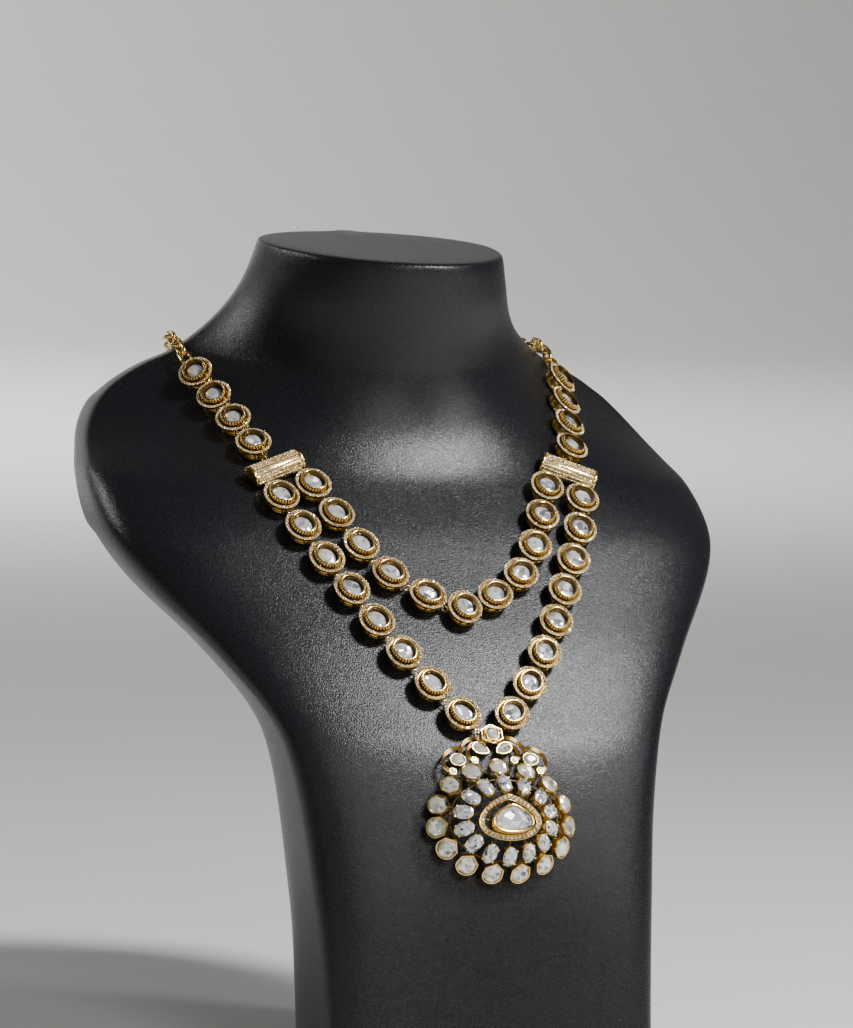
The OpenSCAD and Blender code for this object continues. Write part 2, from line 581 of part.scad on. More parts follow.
module prongs() {
    for (x = [-1, 1]) for (y = [-1, 1])
        translate([x * oval_l * 0.345, y * oval_w * 0.4, -oval_h])
            cylinder(h = oval_h + prong_up, d = prong_d, $fn = 6);
}

module pendant_body() {
    on_ring(petal_a, petal_b, petal_count, petal_up, petal_shift)
        translate([0, 0, -petal_h]) cup(petal_outline, petal_h, cup_floor, cup_t);
    on_ring(oval_a, oval_b, oval_count, oval_up, oval_shift) {
        translate([0, 0, -oval_h]) linear_extrude(oval_h) difference() {
            polygon(seat_outline);
            offset(delta = -seat_w) polygon(seat_outline);
        }
        prongs();
    }
    hoop_a = petal_a - petal_l / 2 - 0.1;
    hoop_b = petal_b - petal_l / 2;
    wire([for (i = [0 : 30]) ring_spot(hoop_a, hoop_b, 6 + i * 12, petal_shift)], hoop_up, bar_d);
    seat_a = oval_a - oval_l / 2 + 0.5;
    seat_b = oval_b - oval_l / 2 + 0.5;
    band = drop_line(drop_w - drop_band, drop_h - drop_band, drop_sharp, oval_count);
    for (i = [0 : oval_count - 1])
        let (p = ring_spot(seat_a, seat_b, -i * 360 / oval_count, oval_shift), q = band[i])
            bar([p.x, p.y, oval_up + 0.6], [q.x, q.y + drop_shift, drop_up - 1], bar_d);
    translate([0, drop_shift, drop_up - drop_t]) linear_extrude(drop_t) difference() {
        polygon(drop_outline);
        offset(delta = -drop_band) polygon(drop_outline);
    }
    stay_up = drop_up - 0.8;
    for (i = [0 : 3 : 23])
        let (p = 0.9 * middle_outline[i], q = 0.93 * drop_outline[i])
            bar([p.x, p.y + middle_shift, stay_up], [q.x, q.y + drop_shift, stay_up], bar_d);
    middle_low = drop_up - 1.4;
    translate([0, middle_shift, middle_low]) cup(middle_outline, middle_up - middle_low, 2.2, middle_t);
}

module crown_body() {
    translate(top_setting) {
        cylinder(h = top_h - 0.8, r = stem_r, $fn = 24);
        translate([0, 0, top_h - 0.9]) cup(top_outline, 0.9, 0.35, cup_t);
    }
    both_sides() {
        translate([top_setting.x, top_setting.y, eye_h]) rotate(eye_turn)
            translate([stem_r - eps, 0, 0]) lug(eye_x - stem_r + eps);
        for (line = [inner_scroll, outer_scroll])
            bar([1.2, top_setting.y - 0.8, wire_h], [line[0].x, line[0].y, wire_h], scroll_wire);
        translate(pear_setting) rotate(pear_turn) cup(pear_outline, crown_h, cup_floor, cup_t);
        translate(side_setting) cup(side_outline, crown_h, cup_floor, cup_t);
        translate([inner_bead.x, inner_bead.y, bead_h]) sphere(d = bead_d, $fn = 24);
        translate([outer_bead.x, outer_bead.y, bead_h]) sphere(d = bead_d, $fn = 24);
        wire(inner_scroll, wire_h, scroll_wire);
        wire(outer_scroll, wire_h, scroll_wire);
        wire(side_scroll, wire_h, scroll_wire);
    }
}

module pendant_frame() {
    color(gold) {
        at_pendant() pendant_body();
        at_crown() crown_body();
        both_sides() {
            bar(leaning(crown_at, crown_lean, [inner_bead.x, inner_bead.y, bead_h]),
                leaning(pendant_at, lean, petal_joints[0]), bar_d);
            bar(leaning(crown_at, crown_lean, [outer_bead.x, outer_bead.y, bead_h]),
                leaning(pendant_at, lean, petal_joints[1]), bar_d);
        }
    }
}

module pendant_petal_stones() {
    color(stone_colour) at_pendant() on_ring(petal_a, petal_b, petal_count, petal_up, petal_shift)
        translate([0, 0, -petal_sink]) cut_stone(inset(petal_outline, cup_t + clear), stone_up, small_down);
}
module pendant_oval_stones() {
    color(stone_colour) at_pendant() on_ring(oval_a, oval_b, oval_count, oval_up, oval_shift)
        translate([0, 0, oval_lift])
            cut_stone(oval_ring(oval_l / 2 - oval_edge, oval_w / 2 - oval_edge, 12, 15),
                      small_up, small_down);
}
module pendant_middle_stone() {
    color(stone_colour) at_pendant() translate([0, middle_shift, middle_up - middle_sink])
        cut_stone(inset(middle_outline, middle_t + clear), middle_rise, 1);
}
module pendant_crown_stones() {
    color(stone_colour) at_crown() {
        translate([top_setting.x, top_setting.y, top_h]) cut_stone(oval_ring(2.2, 2.2, 10, 18), 0.6, 0.4);
        both_sides() {
            translate([pear_setting.x, pear_setting.y, crown_h - crown_sink]) rotate(pear_turn)
                cut_stone(inset(pear_outline, cup_t + clear + 0.05), small_up, small_down);
            translate([side_setting.x, side_setting.y, crown_h - crown_sink])
                cut_stone(inset(side_outline, cup_t + clear), small_up, small_down);
        }
    }
}

bust();
upper_links_left();
upper_links_right();
upper_stones();
inner_links();
inner_stones();
outer_links_left();
outer_links_right();
outer_stones();
spacer_left();
spacer_right();
joining_rings();
back_chain_left();
back_chain_right();
clasp();
pendant_frame();
pendant_petal_stones();
pendant_oval_stones();
pendant_middle_stone();
pendant_crown_stones();
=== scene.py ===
"""Looks of a two-strand kundan necklace with a domed pendant, on its black neck bust.

Sizes are in millimetres, each in a setting's own place: x along the strand, y across it and z outwards.
A piece is turned into metres when it is put in the shared frame.
"""

from __future__ import annotations

import json
import logging
import math
from dataclasses import dataclass, field
from enum import Enum
from typing import Any, Iterable, Sequence

import bpy
import numpy as np
from mathutils import Matrix, Vector

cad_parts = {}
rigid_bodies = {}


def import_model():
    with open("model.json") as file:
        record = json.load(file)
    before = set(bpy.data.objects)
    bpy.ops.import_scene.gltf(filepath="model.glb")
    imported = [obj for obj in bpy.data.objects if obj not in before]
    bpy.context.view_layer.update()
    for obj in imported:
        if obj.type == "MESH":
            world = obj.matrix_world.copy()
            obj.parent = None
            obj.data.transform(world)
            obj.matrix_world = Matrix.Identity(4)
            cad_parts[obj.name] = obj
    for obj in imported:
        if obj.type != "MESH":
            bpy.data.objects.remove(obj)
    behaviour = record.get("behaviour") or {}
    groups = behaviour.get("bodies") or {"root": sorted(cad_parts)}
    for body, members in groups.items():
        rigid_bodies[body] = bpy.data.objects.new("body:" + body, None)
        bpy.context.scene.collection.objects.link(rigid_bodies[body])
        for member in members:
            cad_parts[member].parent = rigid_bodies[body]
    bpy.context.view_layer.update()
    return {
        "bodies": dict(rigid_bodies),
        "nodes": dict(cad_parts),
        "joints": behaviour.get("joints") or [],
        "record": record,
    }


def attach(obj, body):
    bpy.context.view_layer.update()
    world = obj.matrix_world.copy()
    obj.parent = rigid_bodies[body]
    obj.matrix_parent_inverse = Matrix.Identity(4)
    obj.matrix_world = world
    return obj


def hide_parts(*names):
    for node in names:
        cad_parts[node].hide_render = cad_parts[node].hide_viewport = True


logging.basicConfig(level=logging.INFO, format="%(message)s")
log = logging.getLogger("necklace")

Outline = list[tuple[float, float]]
Point = tuple[float, float, float]
Colour = tuple[float, float, float]
MM = 0.001

# How much wider than its width the drop's formula would draw it
DROP_SWELL = 1.75
# Edges sharper than this are rounded
SHARP_EDGE = math.radians(50)
# A stone's underside against its girdle, and how its two rows of facets share its height
STONE_FOOT = 0.75
FACET_ROWS = (0.6, 0.4)
# Corners closer than this, in metres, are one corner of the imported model
SAME_CORNER = 2e-6
# The point of the chest that most lamps face, in metres
CHEST: Point = (0.0, -0.05, 0.12)


class Slot(Enum):
    """Material slots of the record."""

    CLOTH = "bust_cloth"
    GOLD = "gold"
    STONE = "stone"


# Outlines and places


def oval(a: float, b: float, count: int, turn: float = 0.0) -> Outline:
    """Points round an oval.

    Args:
        a: Half its length along x.
        b: Half its width along y.
        count: How many points.
        turn: Angle of the first point, in degrees.

    Returns:
        The points, anticlockwise.
    """
    angles = [math.radians(turn + 360 * i / count) for i in range(count)]
    return [(a * math.cos(f), b * math.sin(f)) for f in angles]


def drop(width: float, height: float, sharp: float, count: int, belly: float = 1.0) -> Outline:
    """Points round a rounded drop whose point is up.

    Args:
        width: Its width.
        height: Its height.
        sharp: How sharp its point is.
        count: How many points.
        belly: Below 1 for a flatter underside.

    Returns:
        The points, anticlockwise.
    """
    points = []
    for i in range(count):
        f = -2 * math.pi * i / count
        rise = math.cos(f) if math.cos(f) > 0 else -abs(math.cos(f)) ** belly
        points.append((width / DROP_SWELL * math.sin(f) * abs(math.sin(f / 2)) ** sharp, height / 2 * rise))
    return points


def inset(outline: Outline, gap: float) -> Outline:
    """An outline drawn inside another.

    Args:
        outline: The outer points, anticlockwise.
        gap: Distance between the two.

    Returns:
        As many points, each moved inwards.
    """
    result = []
    for i, point in enumerate(outline):
        before, here, after = Vector(outline[i - 1]), Vector(point), Vector(outline[(i + 1) % len(outline)])
        u, v = (here - before).normalized(), (after - here).normalized()
        p, q = Vector((-u.y, u.x)), Vector((-v.y, v.x))
        moved = here + (p + q) * gap / max(0.3, 1 + p.dot(q))
        result.append((moved.x, moved.y))
    return result


def resampled(outline: Outline, count: int) -> Outline:
    """Points at even distances round a closed outline.

    Args:
        outline: The outline's points.
        count: How many even points are wanted.

    Returns:
        The even points.
    """
    points = [Vector(p) for p in outline] + [Vector(outline[0])]
    steps = [(b - a).length for a, b in zip(points, points[1:])]
    total, result = sum(steps), []
    for k in range(count):
        rest, i = total * k / count, 0
        while rest > steps[i]:
            rest -= steps[i]
            i += 1
        spot = points[i].lerp(points[i + 1], rest / steps[i])
        result.append((spot.x, spot.y))
    return result


def smooth_path(points: Sequence[Sequence[float]], steps: int) -> list[Vector]:
    """A smooth path through a few points.

    Args:
        points: The points that the path goes through.
        steps: How many short stretches between two of them.

    Returns:
        The path's points.
    """
    spots = [Vector(p) for p in points]
    spots = [2 * spots[0] - spots[1]] + spots + [2 * spots[-1] - spots[-2]]
    path = []
    for a, b, c, d in zip(spots, spots[1:], spots[2:], spots[3:]):
        for k in range(steps):
            u = k / steps
            path.append(0.5 * (2 * b + (c - a) * u + (2 * a - 5 * b + 4 * c - d) * u**2
                               + (3 * b - a - 3 * c + d) * u**3))
    return path + [spots[-2]]


def at(x: float, y: float, z: float = 0.0, turn: float = 0.0, tilt: float = 0.0) -> Matrix:
    """A place, turned about z and then tilted about its own y.

    Args:
        x: Distance along x.
        y: Distance along y.
        z: Distance along z.
        turn: Turn about z, in degrees.
        tilt: Tilt about the turned y, in degrees.

    Returns:
        The place as a matrix.
    """
    return (Matrix.Translation((x, y, z)) @ Matrix.Rotation(math.radians(turn), 4, "Z")
            @ Matrix.Rotation(math.radians(tilt), 4, "Y"))


def leaning(place: Point, lean: float) -> Matrix:
    """A place that stands upright and leans back by so many degrees."""
    return Matrix.Translation(place) @ Matrix.Rotation(math.radians(90 - lean), 4, "X")


def mirrored(side: int) -> Matrix:
    """Mirrors x where the side is -1."""
    return Matrix.Diagonal((side, 1, 1, 1))


def main_axes(points: np.ndarray) -> tuple[np.ndarray, np.ndarray, np.ndarray]:
    """The directions in which a group of points is shortest, middling and longest.

    Args:
        points: The points.

    Returns:
        Their middle, their distances from it, and the three directions as columns.
    """
    middle = points.mean(0)
    spread = points - middle
    return middle, spread, np.linalg.eigh(spread.T @ spread)[1]


# Modelling steps


def deselect() -> None:
    """Clears the selection of objects."""
    bpy.ops.object.select_all(action="DESELECT")


def edit_all() -> None:
    """Enters edit mode with the whole mesh selected."""
    bpy.ops.object.mode_set(mode="EDIT")
    bpy.ops.mesh.select_all(action="SELECT")


def leave_edit() -> None:
    """Goes back to object mode."""
    bpy.ops.object.mode_set(mode="OBJECT")


def linked(name: str, data: Any) -> bpy.types.Object:
    """Makes an object for some data, as the only one selected.

    Args:
        name: The object's name.
        data: Its mesh or curve.

    Returns:
        The object.
    """
    deselect()
    obj = bpy.data.objects.new(name, data)
    bpy.context.collection.objects.link(obj)
    obj.select_set(True)
    bpy.context.view_layer.objects.active = obj
    return obj


class Form:
    """One mesh that is modelled with Blender's operators, in millimetres."""

    def __init__(self, obj: bpy.types.Object) -> None:
        """Takes over an object.

        Args:
            obj: The mesh object.
        """
        self.obj = obj

    @classmethod
    def disc(cls, outline: Outline, z: float = 0.0) -> Form:
        """A flat face with a given outline.

        Args:
            outline: The face's points.
            z: Its height.

        Returns:
            The form, in edit mode with its face selected.
        """
        deselect()
        bpy.ops.mesh.primitive_circle_add(vertices=len(outline), radius=1, fill_type="NGON")
        form = cls(bpy.context.object)
        for vertex, (x, y) in zip(form.obj.data.vertices, outline):
            vertex.co = (x, y, z)
        edit_all()
        bpy.ops.mesh.normals_make_consistent(inside=False)
        return form

    def raised(self, up: float, scale: float = 1.0, centre: Point = (0, 0, 0)) -> Form:
        """Extrudes the selected face.

        Args:
            up: How far, along z.
            scale: Size of the new face against the old one.
            centre: Point that it shrinks towards.

        Returns:
            This form, with the new face selected.
        """
        bpy.ops.mesh.extrude_region_move(TRANSFORM_OT_translate={"value": (0, 0, up)})
        if scale != 1.0:
            bpy.ops.transform.resize(value=(scale, scale, 1), center_override=centre)
        return self

    def hollowed(self, wall: float, depth: float, narrow: float = 1.0) -> Form:
        """Insets the selected face and sinks it.

        Args:
            wall: Width of the edge that stays.
            depth: How deep the inner face goes.
            narrow: Size of the sunk face against the opening.

        Returns:
            This form, with the sunk face selected.
        """
        bpy.ops.mesh.inset(thickness=wall, depth=0)
        bpy.ops.mesh.extrude_region_move(TRANSFORM_OT_translate={"value": (0, 0, -depth)})
        if narrow != 1.0:
            bpy.ops.transform.resize(value=(narrow, narrow, 1), center_override=(0, 0, 0))
        return self

    def done(self, rounding: float = 0.0, smooth: float = 40.0) -> Form:
        """Leaves edit mode, rounds the edges and shades the form.

        Args:
            rounding: Width of the rounding along sharp edges.
            smooth: Angle below which faces are shaded as one, in degrees.

        Returns:
            This form, in object mode.
        """
        if self.obj.mode == "EDIT":
            bpy.ops.mesh.select_all(action="SELECT")
            bpy.ops.mesh.normals_make_consistent(inside=False)
            leave_edit()
        if rounding > 0:
            edge = self.obj.modifiers.new("edge", "BEVEL")
            edge.width, edge.segments = rounding, 2
            edge.limit_method, edge.angle_limit = "ANGLE", SHARP_EDGE
            bpy.ops.object.modifier_apply(modifier=edge.name)
        if smooth > 0:
            bpy.ops.object.shade_smooth_by_angle(angle=math.radians(smooth))
        return self

    def copied(self, places: Iterable[Matrix]) -> Form:
        """Copies of this form at several places, joined. The form itself goes.

        Args:
            places: Where the copies go.

        Returns:
            One form of all copies.
        """
        copies = []
        for place in places:
            obj = self.obj.copy()
            obj.data = self.obj.data.copy()
            obj.data.transform(place)
            bpy.context.collection.objects.link(obj)
            copies.append(Form(obj))
        bpy.data.objects.remove(self.obj)
        return joined(copies)

    def moved(self, place: Matrix) -> Form:
        """Moves the form's mesh to a place.

        Args:
            place: The place.

        Returns:
            This form.
        """
        self.obj.data.transform(place)
        return self


def joined(forms: Sequence[Form]) -> Form:
    """Joins forms into one mesh.

    Args:
        forms: The forms, which are used up.

    Returns:
        The joined form.
    """
    deselect()
    for form in forms:
        form.obj.select_set(True)
    bpy.context.view_layer.objects.active = forms[0].obj
    if len(forms) > 1:
        bpy.ops.object.join()
    return Form(bpy.context.view_layer.objects.active)


def cup(outline: Outline, height: float, floor: float, wall: float, rounding: float = 0.12) -> Form:
    """A cup for a stone.

    Args:
        outline: Its outer edge.
        height: Its height.
        floor: Height of its inner floor.
        wall: Thickness of its wall.
        rounding: Rounding of its edges.

    Returns:
        The cup.
    """
    return Form.disc(outline).raised(height).hollowed(wall, height - floor).done(rounding)


def band(outer: Outline, inner: Outline, low: float, high: float, rounding: float = 0.12) -> Form:
    """A flat band between two outlines.

    Args:
        outer: The outer edge.
        inner: The inner edge, with as many points.
        low: Height of its lower face.
        high: Height of its upper face.
        rounding: Rounding of its edges.

    Returns:
        The band.
    """
    deselect()
    bpy.ops.mesh.primitive_circle_add(vertices=len(outer), radius=2, fill_type="NOTHING")
    form = Form(bpy.context.object)
    bpy.ops.object.mode_set(mode="EDIT")
    bpy.ops.mesh.primitive_circle_add(vertices=len(inner), radius=1, fill_type="NOTHING")
    bpy.ops.mesh.select_all(action="SELECT")
    bpy.ops.mesh.bridge_edge_loops()
    leave_edit()
    for vertex, (x, y) in zip(form.obj.data.vertices, outer + inner):
        vertex.co = (x, y, low)
    edit_all()
    return form.raised(high - low).done(rounding)


def cut_stone(outline: Outline, up: float, down: float, table: float = 0.55) -> Form:
    """A stone with a flat table, two rows of facets above its girdle and one below.

    Args:
        outline: The girdle.
        up: Height of the table above the girdle.
        down: Depth of the underside below it.
        table: Size of the table against the girdle.

    Returns:
        The stone, its girdle at z 0.
    """
    count = len(outline)
    mx, my = sum(p[0] for p in outline) / count, sum(p[1] for p in outline) / count
    under = [(mx + (x - mx) * STONE_FOOT, my + (y - my) * STONE_FOOT) for x, y in outline]
    shoulder = (1 + table) / 2 + 0.06
    form = Form.disc(under, -down).raised(down, 1 / STONE_FOOT, (mx, my, 0.0))
    for share, scale in zip(FACET_ROWS, (shoulder, table / shoulder)):
        form.raised(up * share, scale, (mx, my, 0.0))
    return form.done(smooth=0)


def bead(radius: float, place: Point = (0, 0, 0), stretch: Point = (1, 1, 1), fine: int = 2) -> Form:
    """A small round bead of metal.

    Args:
        radius: Its radius.
        place: Its middle.
        stretch: Its size along each axis against the radius.
        fine: Fineness of its faces.

    Returns:
        The bead.
    """
    deselect()
    bpy.ops.mesh.primitive_ico_sphere_add(subdivisions=fine, radius=radius)
    form = Form(bpy.context.object)
    form.moved(Matrix.Translation(place) @ Matrix.Diagonal((*stretch, 1)))
    return form.done(smooth=180)


def bar(start: Sequence[float], end: Sequence[float], thickness: float, sides: int = 10) -> Form:
    """A round bar between two points.

    Args:
        start: One end.
        end: The other end.
        thickness: Its thickness.
        sides: How many sides it has.

    Returns:
        The bar.
    """
    a, b = Vector(start), Vector(end)
    deselect()
    bpy.ops.mesh.primitive_cylinder_add(vertices=sides, radius=thickness / 2, depth=(b - a).length)
    form = Form(bpy.context.object)
    form.moved(Matrix.Translation((a + b) / 2) @ (b - a).to_track_quat("Z", "Y").to_matrix().to_4x4())
    return form.done()


def wire(path: Sequence[Sequence[float]], thickness: float, closed: bool = False) -> Form:
    """A round wire along a path.

    Args:
        path: The path's points.
        thickness: The wire's thickness.
        closed: Whether the wire is a loop.

    Returns:
        The wire.
    """
    curve = bpy.data.curves.new("wire", "CURVE")
    curve.dimensions, curve.bevel_depth, curve.bevel_resolution = "3D", thickness / 2, 2
    curve.use_fill_caps = not closed
    spline = curve.splines.new("POLY")
    spline.points.add(len(path) - 1)
    for point, spot in zip(spline.points, path):
        point.co = (spot[0], spot[1], spot[2], 1)
    spline.use_cyclic_u = closed
    linked("wire", curve)
    bpy.ops.object.convert(target="MESH")
    return Form(bpy.context.object).done(smooth=60)


def eyelet(start: float, x: float, hole: float = 0.95, edge: float = 0.35, thick: float = 0.45) -> Form:
    """A flat lug with a hole, lying in the xy plane and pointing along x.

    Args:
        start: Where it leaves what it is soldered to.
        x: Place of its hole.
        hole: Width of the hole.
        edge: Metal left round the hole.
        thick: Its thickness.

    Returns:
        The lug.
    """
    outer, inner = (oval(r, r, 20) for r in (hole / 2 + edge, hole / 2))
    ring = band(outer, inner, -thick / 2, thick / 2, 0.08).moved(at(x, 0))
    reach = x - hole / 2 - edge * 0.5
    width = hole / 2 + edge * 0.7
    tongue = Form.disc([(start, -width), (reach, -width), (reach, width), (start, width)], -thick / 2)
    return joined([ring, tongue.raised(thick).done(0.06)])


# Materials


class Signal:
    """A value in a material that can be worked with like a number."""

    def __init__(self, graph: Graph, socket: bpy.types.NodeSocket) -> None:
        """Wraps an output socket.

        Args:
            graph: The material's graph.
            socket: The output socket.
        """
        self.graph = graph
        self.socket = socket

    def _math(self, operation: str, first: Any, second: Any) -> Signal:
        """Adds a Math node and returns its result."""
        return self.graph.node("ShaderNodeMath", {"operation": operation}, {0: first, 1: second})

    def __add__(self, other: Any) -> Signal:
        """Sum."""
        return self._math("ADD", self, other)

    def __mul__(self, other: Any) -> Signal:
        """Product."""
        return self._math("MULTIPLY", self, other)

    def __pow__(self, other: Any) -> Signal:
        """Power."""
        return self._math("POWER", self, other)


class Graph:
    """The nodes of one material."""

    def __init__(self, name: str) -> None:
        """Starts a material with its shader.

        Args:
            name: The material's name.
        """
        self.material = bpy.data.materials.new(name)
        self.material.use_nodes = True
        self.tree = self.material.node_tree
        self.shader = next(n for n in self.tree.nodes if n.type == "BSDF_PRINCIPLED")
        self.place = self.node("ShaderNodeTexCoord", output="Object")

    def node(self, kind: str, settings: dict[str, Any] | None = None, inputs: dict[Any, Any] | None = None,
             output: int | str = 0) -> Signal:
        """Adds a node.

        Args:
            kind: The node's type.
            settings: Its own settings, which are set first.
            inputs: Values or signals for its sockets, by name or number.
            output: The output that is wanted.

        Returns:
            That output.
        """
        node = self.tree.nodes.new(kind)
        for key, value in (settings or {}).items():
            setattr(node, key, value)
        for key, value in (inputs or {}).items():
            self.connect(node.inputs[key], value)
        return Signal(self, node.outputs[output])

    def connect(self, socket: bpy.types.NodeSocket, value: Any) -> None:
        """Sets a socket to a number or colour, or links a signal to it.

        Args:
            socket: The input socket.
            value: What goes into it.
        """
        if isinstance(value, Signal):
            self.tree.links.new(value.socket, socket)
        elif socket.type == "RGBA":
            socket.default_value = (*value, 1.0)
        else:
            socket.default_value = value

    def noise(self, size: float, detail: float = 2.0, roughness: float = 0.5) -> Signal:
        """Soft noise over the surface.

        Args:
            size: Size of its spots, in millimetres.
            detail: How much finer noise is on top.
            roughness: How strong the finer noise is.

        Returns:
            The noise, from 0 to 1.
        """
        inputs = {"Vector": self.place, "Scale": 1 / (size * MM), "Detail": detail, "Roughness": roughness}
        return self.node("ShaderNodeTexNoise", {}, inputs, "Fac")

    def cells(self, size: float) -> tuple[Signal, Signal]:
        """Small flat cells, like facets.

        Args:
            size: Their size, in millimetres.

        Returns:
            A random number for each cell, and a random colour.
        """
        inputs = {"Vector": self.place, "Scale": 1 / (size * MM)}
        cell = self.node("ShaderNodeTexVoronoi", {"feature": "F1"}, inputs, "Color")
        return self.node("ShaderNodeSeparateColor", {}, {"Color": cell}, "Red"), cell

    def mix(self, factor: Any, first: Any, second: Any) -> Signal:
        """Mixes two colours.

        Args:
            factor: Share of the second.
            first: First colour.
            second: Second colour.

        Returns:
            The mixed colour.
        """
        return self.node("ShaderNodeMix", {"data_type": "RGBA"}, {0: factor, 6: first, 7: second}, 2)

    def bump(self, height: Signal, depth: float, strength: float) -> Signal:
        """A normal from a height.

        Args:
            height: The height, from 0 to 1.
            depth: What 1 stands for, in millimetres.
            strength: How strong the bump is.

        Returns:
            The normal.
        """
        inputs = {"Height": height, "Distance": depth * MM, "Strength": strength}
        return self.node("ShaderNodeBump", {}, inputs, "Normal")

    def _vector(self, operation: str, inputs: dict[Any, Any]) -> Signal:
        """Adds a Vector Math node and returns its result."""
        return self.node("ShaderNodeVectorMath", {"operation": operation}, inputs)

    def tilted(self, colour: Signal, strength: float) -> Signal:
        """The surface's normal, tilted by a random colour.

        Args:
            colour: A random colour for each cell.
            strength: How far it tilts.

        Returns:
            The normal.
        """
        centred = self._vector("SUBTRACT", {0: colour, 1: (0.5, 0.5, 0.5)})
        scaled = self._vector("SCALE", {0: centred, "Scale": strength})
        normal = self.node("ShaderNodeNewGeometry", output="Normal")
        return self._vector("NORMALIZE", {0: self._vector("ADD", {0: normal, 1: scaled})})

    def finish(self, **values: Any) -> bpy.types.Material:
        """Feeds the shader and returns the material.

        Args:
            values: The shader's inputs, with underscores for spaces.

        Returns:
            The material.
        """
        for key, value in values.items():
            self.connect(self.shader.inputs[key.replace("_", " ")], value)
        return self.material


@dataclass(frozen=True)
class GoldFinish:
    """Warm gold plating with a soft polish."""

    bright: Colour = (1.0, 0.77, 0.3)
    deep: Colour = (0.7, 0.46, 0.12)
    rough: float = 0.17
    cloud: float = 1.6

    def make(self, name: str) -> bpy.types.Material:
        """Makes the material.

        Args:
            name: Its name.

        Returns:
            The material.
        """
        graph = Graph(name)
        cloud = graph.noise(self.cloud, 3.0)
        scratch = graph.noise(0.25, 4.0, 0.65)
        return graph.finish(
            Base_Color=graph.mix(cloud * 0.8, self.bright, self.deep),
            Metallic=1.0,
            Roughness=cloud * 0.12 + scratch * 0.08 + (self.rough - 0.1),
            Normal=graph.bump(scratch, 0.02, 0.35))


@dataclass(frozen=True)
class StoneFinish:
    """A cut stone over bright foil; its facets are painted as a mosaic of the foil's pale colour and a dark
    colour that stands for dark reflections.
    """

    light: Colour = (1.0, 0.99, 0.97)
    # Painted reflection: the dark colour of some facets, standing for the dark surroundings that they would
    # reflect
    dark_reflection: Colour = (0.2, 0.21, 0.23)
    facet: float = 1.7
    tilt: float = 0.6
    rough: float = 0.1
    metal: float = 0.5

    def make(self, name: str) -> bpy.types.Material:
        """Makes the material.

        Args:
            name: Its name.

        Returns:
            The material.
        """
        graph = Graph(name)
        level, colour = graph.cells(self.facet)
        veil = graph.noise(self.facet * 0.8, 2.0)
        return graph.finish(
            # Painted reflections: each facet cell gets its own mix of the pale colour and the dark one, a
            # mosaic of bright and dark
            Base_Color=graph.mix(level**2.0 * 0.95 + veil * 0.12, self.light, self.dark_reflection),
            Metallic=self.metal,
            Roughness=veil * 0.1 + self.rough,
            Coat_Weight=1.0,
            Coat_Roughness=0.03,
            Normal=graph.tilted(colour, self.tilt))


@dataclass(frozen=True)
class SatinFinish:
    """Black cloth with a fine grain stretched over the bust."""

    dark: Colour = (0.003, 0.003, 0.004)
    light: Colour = (0.022, 0.023, 0.027)
    grain: float = 0.4
    rough: float = 0.27

    def make(self, name: str) -> bpy.types.Material:
        """Makes the material.

        Args:
            name: Its name.

        Returns:
            The material.
        """
        graph = Graph(name)
        grain = graph.noise(self.grain, 1.0, 0.6)
        cloud = graph.noise(30.0, 2.0)
        return graph.finish(
            Base_Color=graph.mix(grain**3.0 + cloud * 0.1, self.dark, self.light),
            Roughness=cloud * 0.05 + grain * 0.2 + (self.rough - 0.12),
            Specular_IOR_Level=0.36,
            Normal=graph.bump(grain, 0.3, 0.42))


@dataclass(frozen=True)
class StageFinish:
    """Plain pale paper for the floor."""

    pale: Colour = (0.74, 0.73, 0.71)

    def make(self, name: str) -> bpy.types.Material:
        """Makes the material.

        Args:
            name: Its name.

        Returns:
            The material.
        """
        graph = Graph(name)
        cloud = graph.noise(60.0, 3.0)
        shade = tuple(c * 0.96 for c in self.pale)
        return graph.finish(Base_Color=graph.mix(cloud, self.pale, shade), Roughness=0.9)


class Look(Enum):
    """Every finish of the necklace and its bust: its material's name, its slot and its recipe."""

    GOLD = ("gold_plating", Slot.GOLD, GoldFinish())
    WIRE_GOLD = ("polished_gold_wire", Slot.GOLD, GoldFinish(rough=0.14))
    # A darker copy of the gold, painted shade on the collets' flanks and on the base plates between the rim
    # stones
    SHADED_GOLD = ("gold_painted_shade", Slot.GOLD, GoldFinish((0.3, 0.19, 0.06), (0.12, 0.07, 0.02), 0.24))
    # A still darker copy of the gold, painted shade in the wells and on the pendant's hoop and bars under its
    # settings
    WELL_GOLD = ("gold_painted_deep_shade", Slot.GOLD, GoldFinish((0.17, 0.1, 0.03), (0.05, 0.03, 0.01), 0.3))
    FLAT_STONE = ("foiled_flat_stone", Slot.STONE, StoneFinish())
    PETAL_STONE = ("foiled_petal_stone", Slot.STONE,
                   StoneFinish((0.98, 0.96, 0.89), (0.24, 0.22, 0.18), facet=1.4, tilt=0.7))
    OVAL_STONE = ("brilliant_oval_stone", Slot.STONE,
                  StoneFinish(dark_reflection=(0.07, 0.07, 0.09), facet=0.85, tilt=0.8, rough=0.05, metal=0.4))
    SMALL_STONE = ("small_pale_stone", Slot.STONE,
                   StoneFinish((1.0, 0.87, 0.64), (0.3, 0.18, 0.08), facet=0.9, tilt=0.9, metal=0.4))
    SATIN = ("black_satin", Slot.CLOTH, SatinFinish())

    def __init__(self, title: str, slot: Slot, recipe: GoldFinish | StoneFinish | SatinFinish) -> None:
        """Keeps a member's values by name.

        Args:
            title: The material's name.
            slot: The record's slot.
            recipe: What makes the material.
        """
        self.title, self.slot, self.recipe = title, slot, recipe

    def material(self) -> bpy.types.Material:
        """The material, which is made when it is first asked for."""
        return bpy.data.materials.get(self.title) or self.recipe.make(self.title)


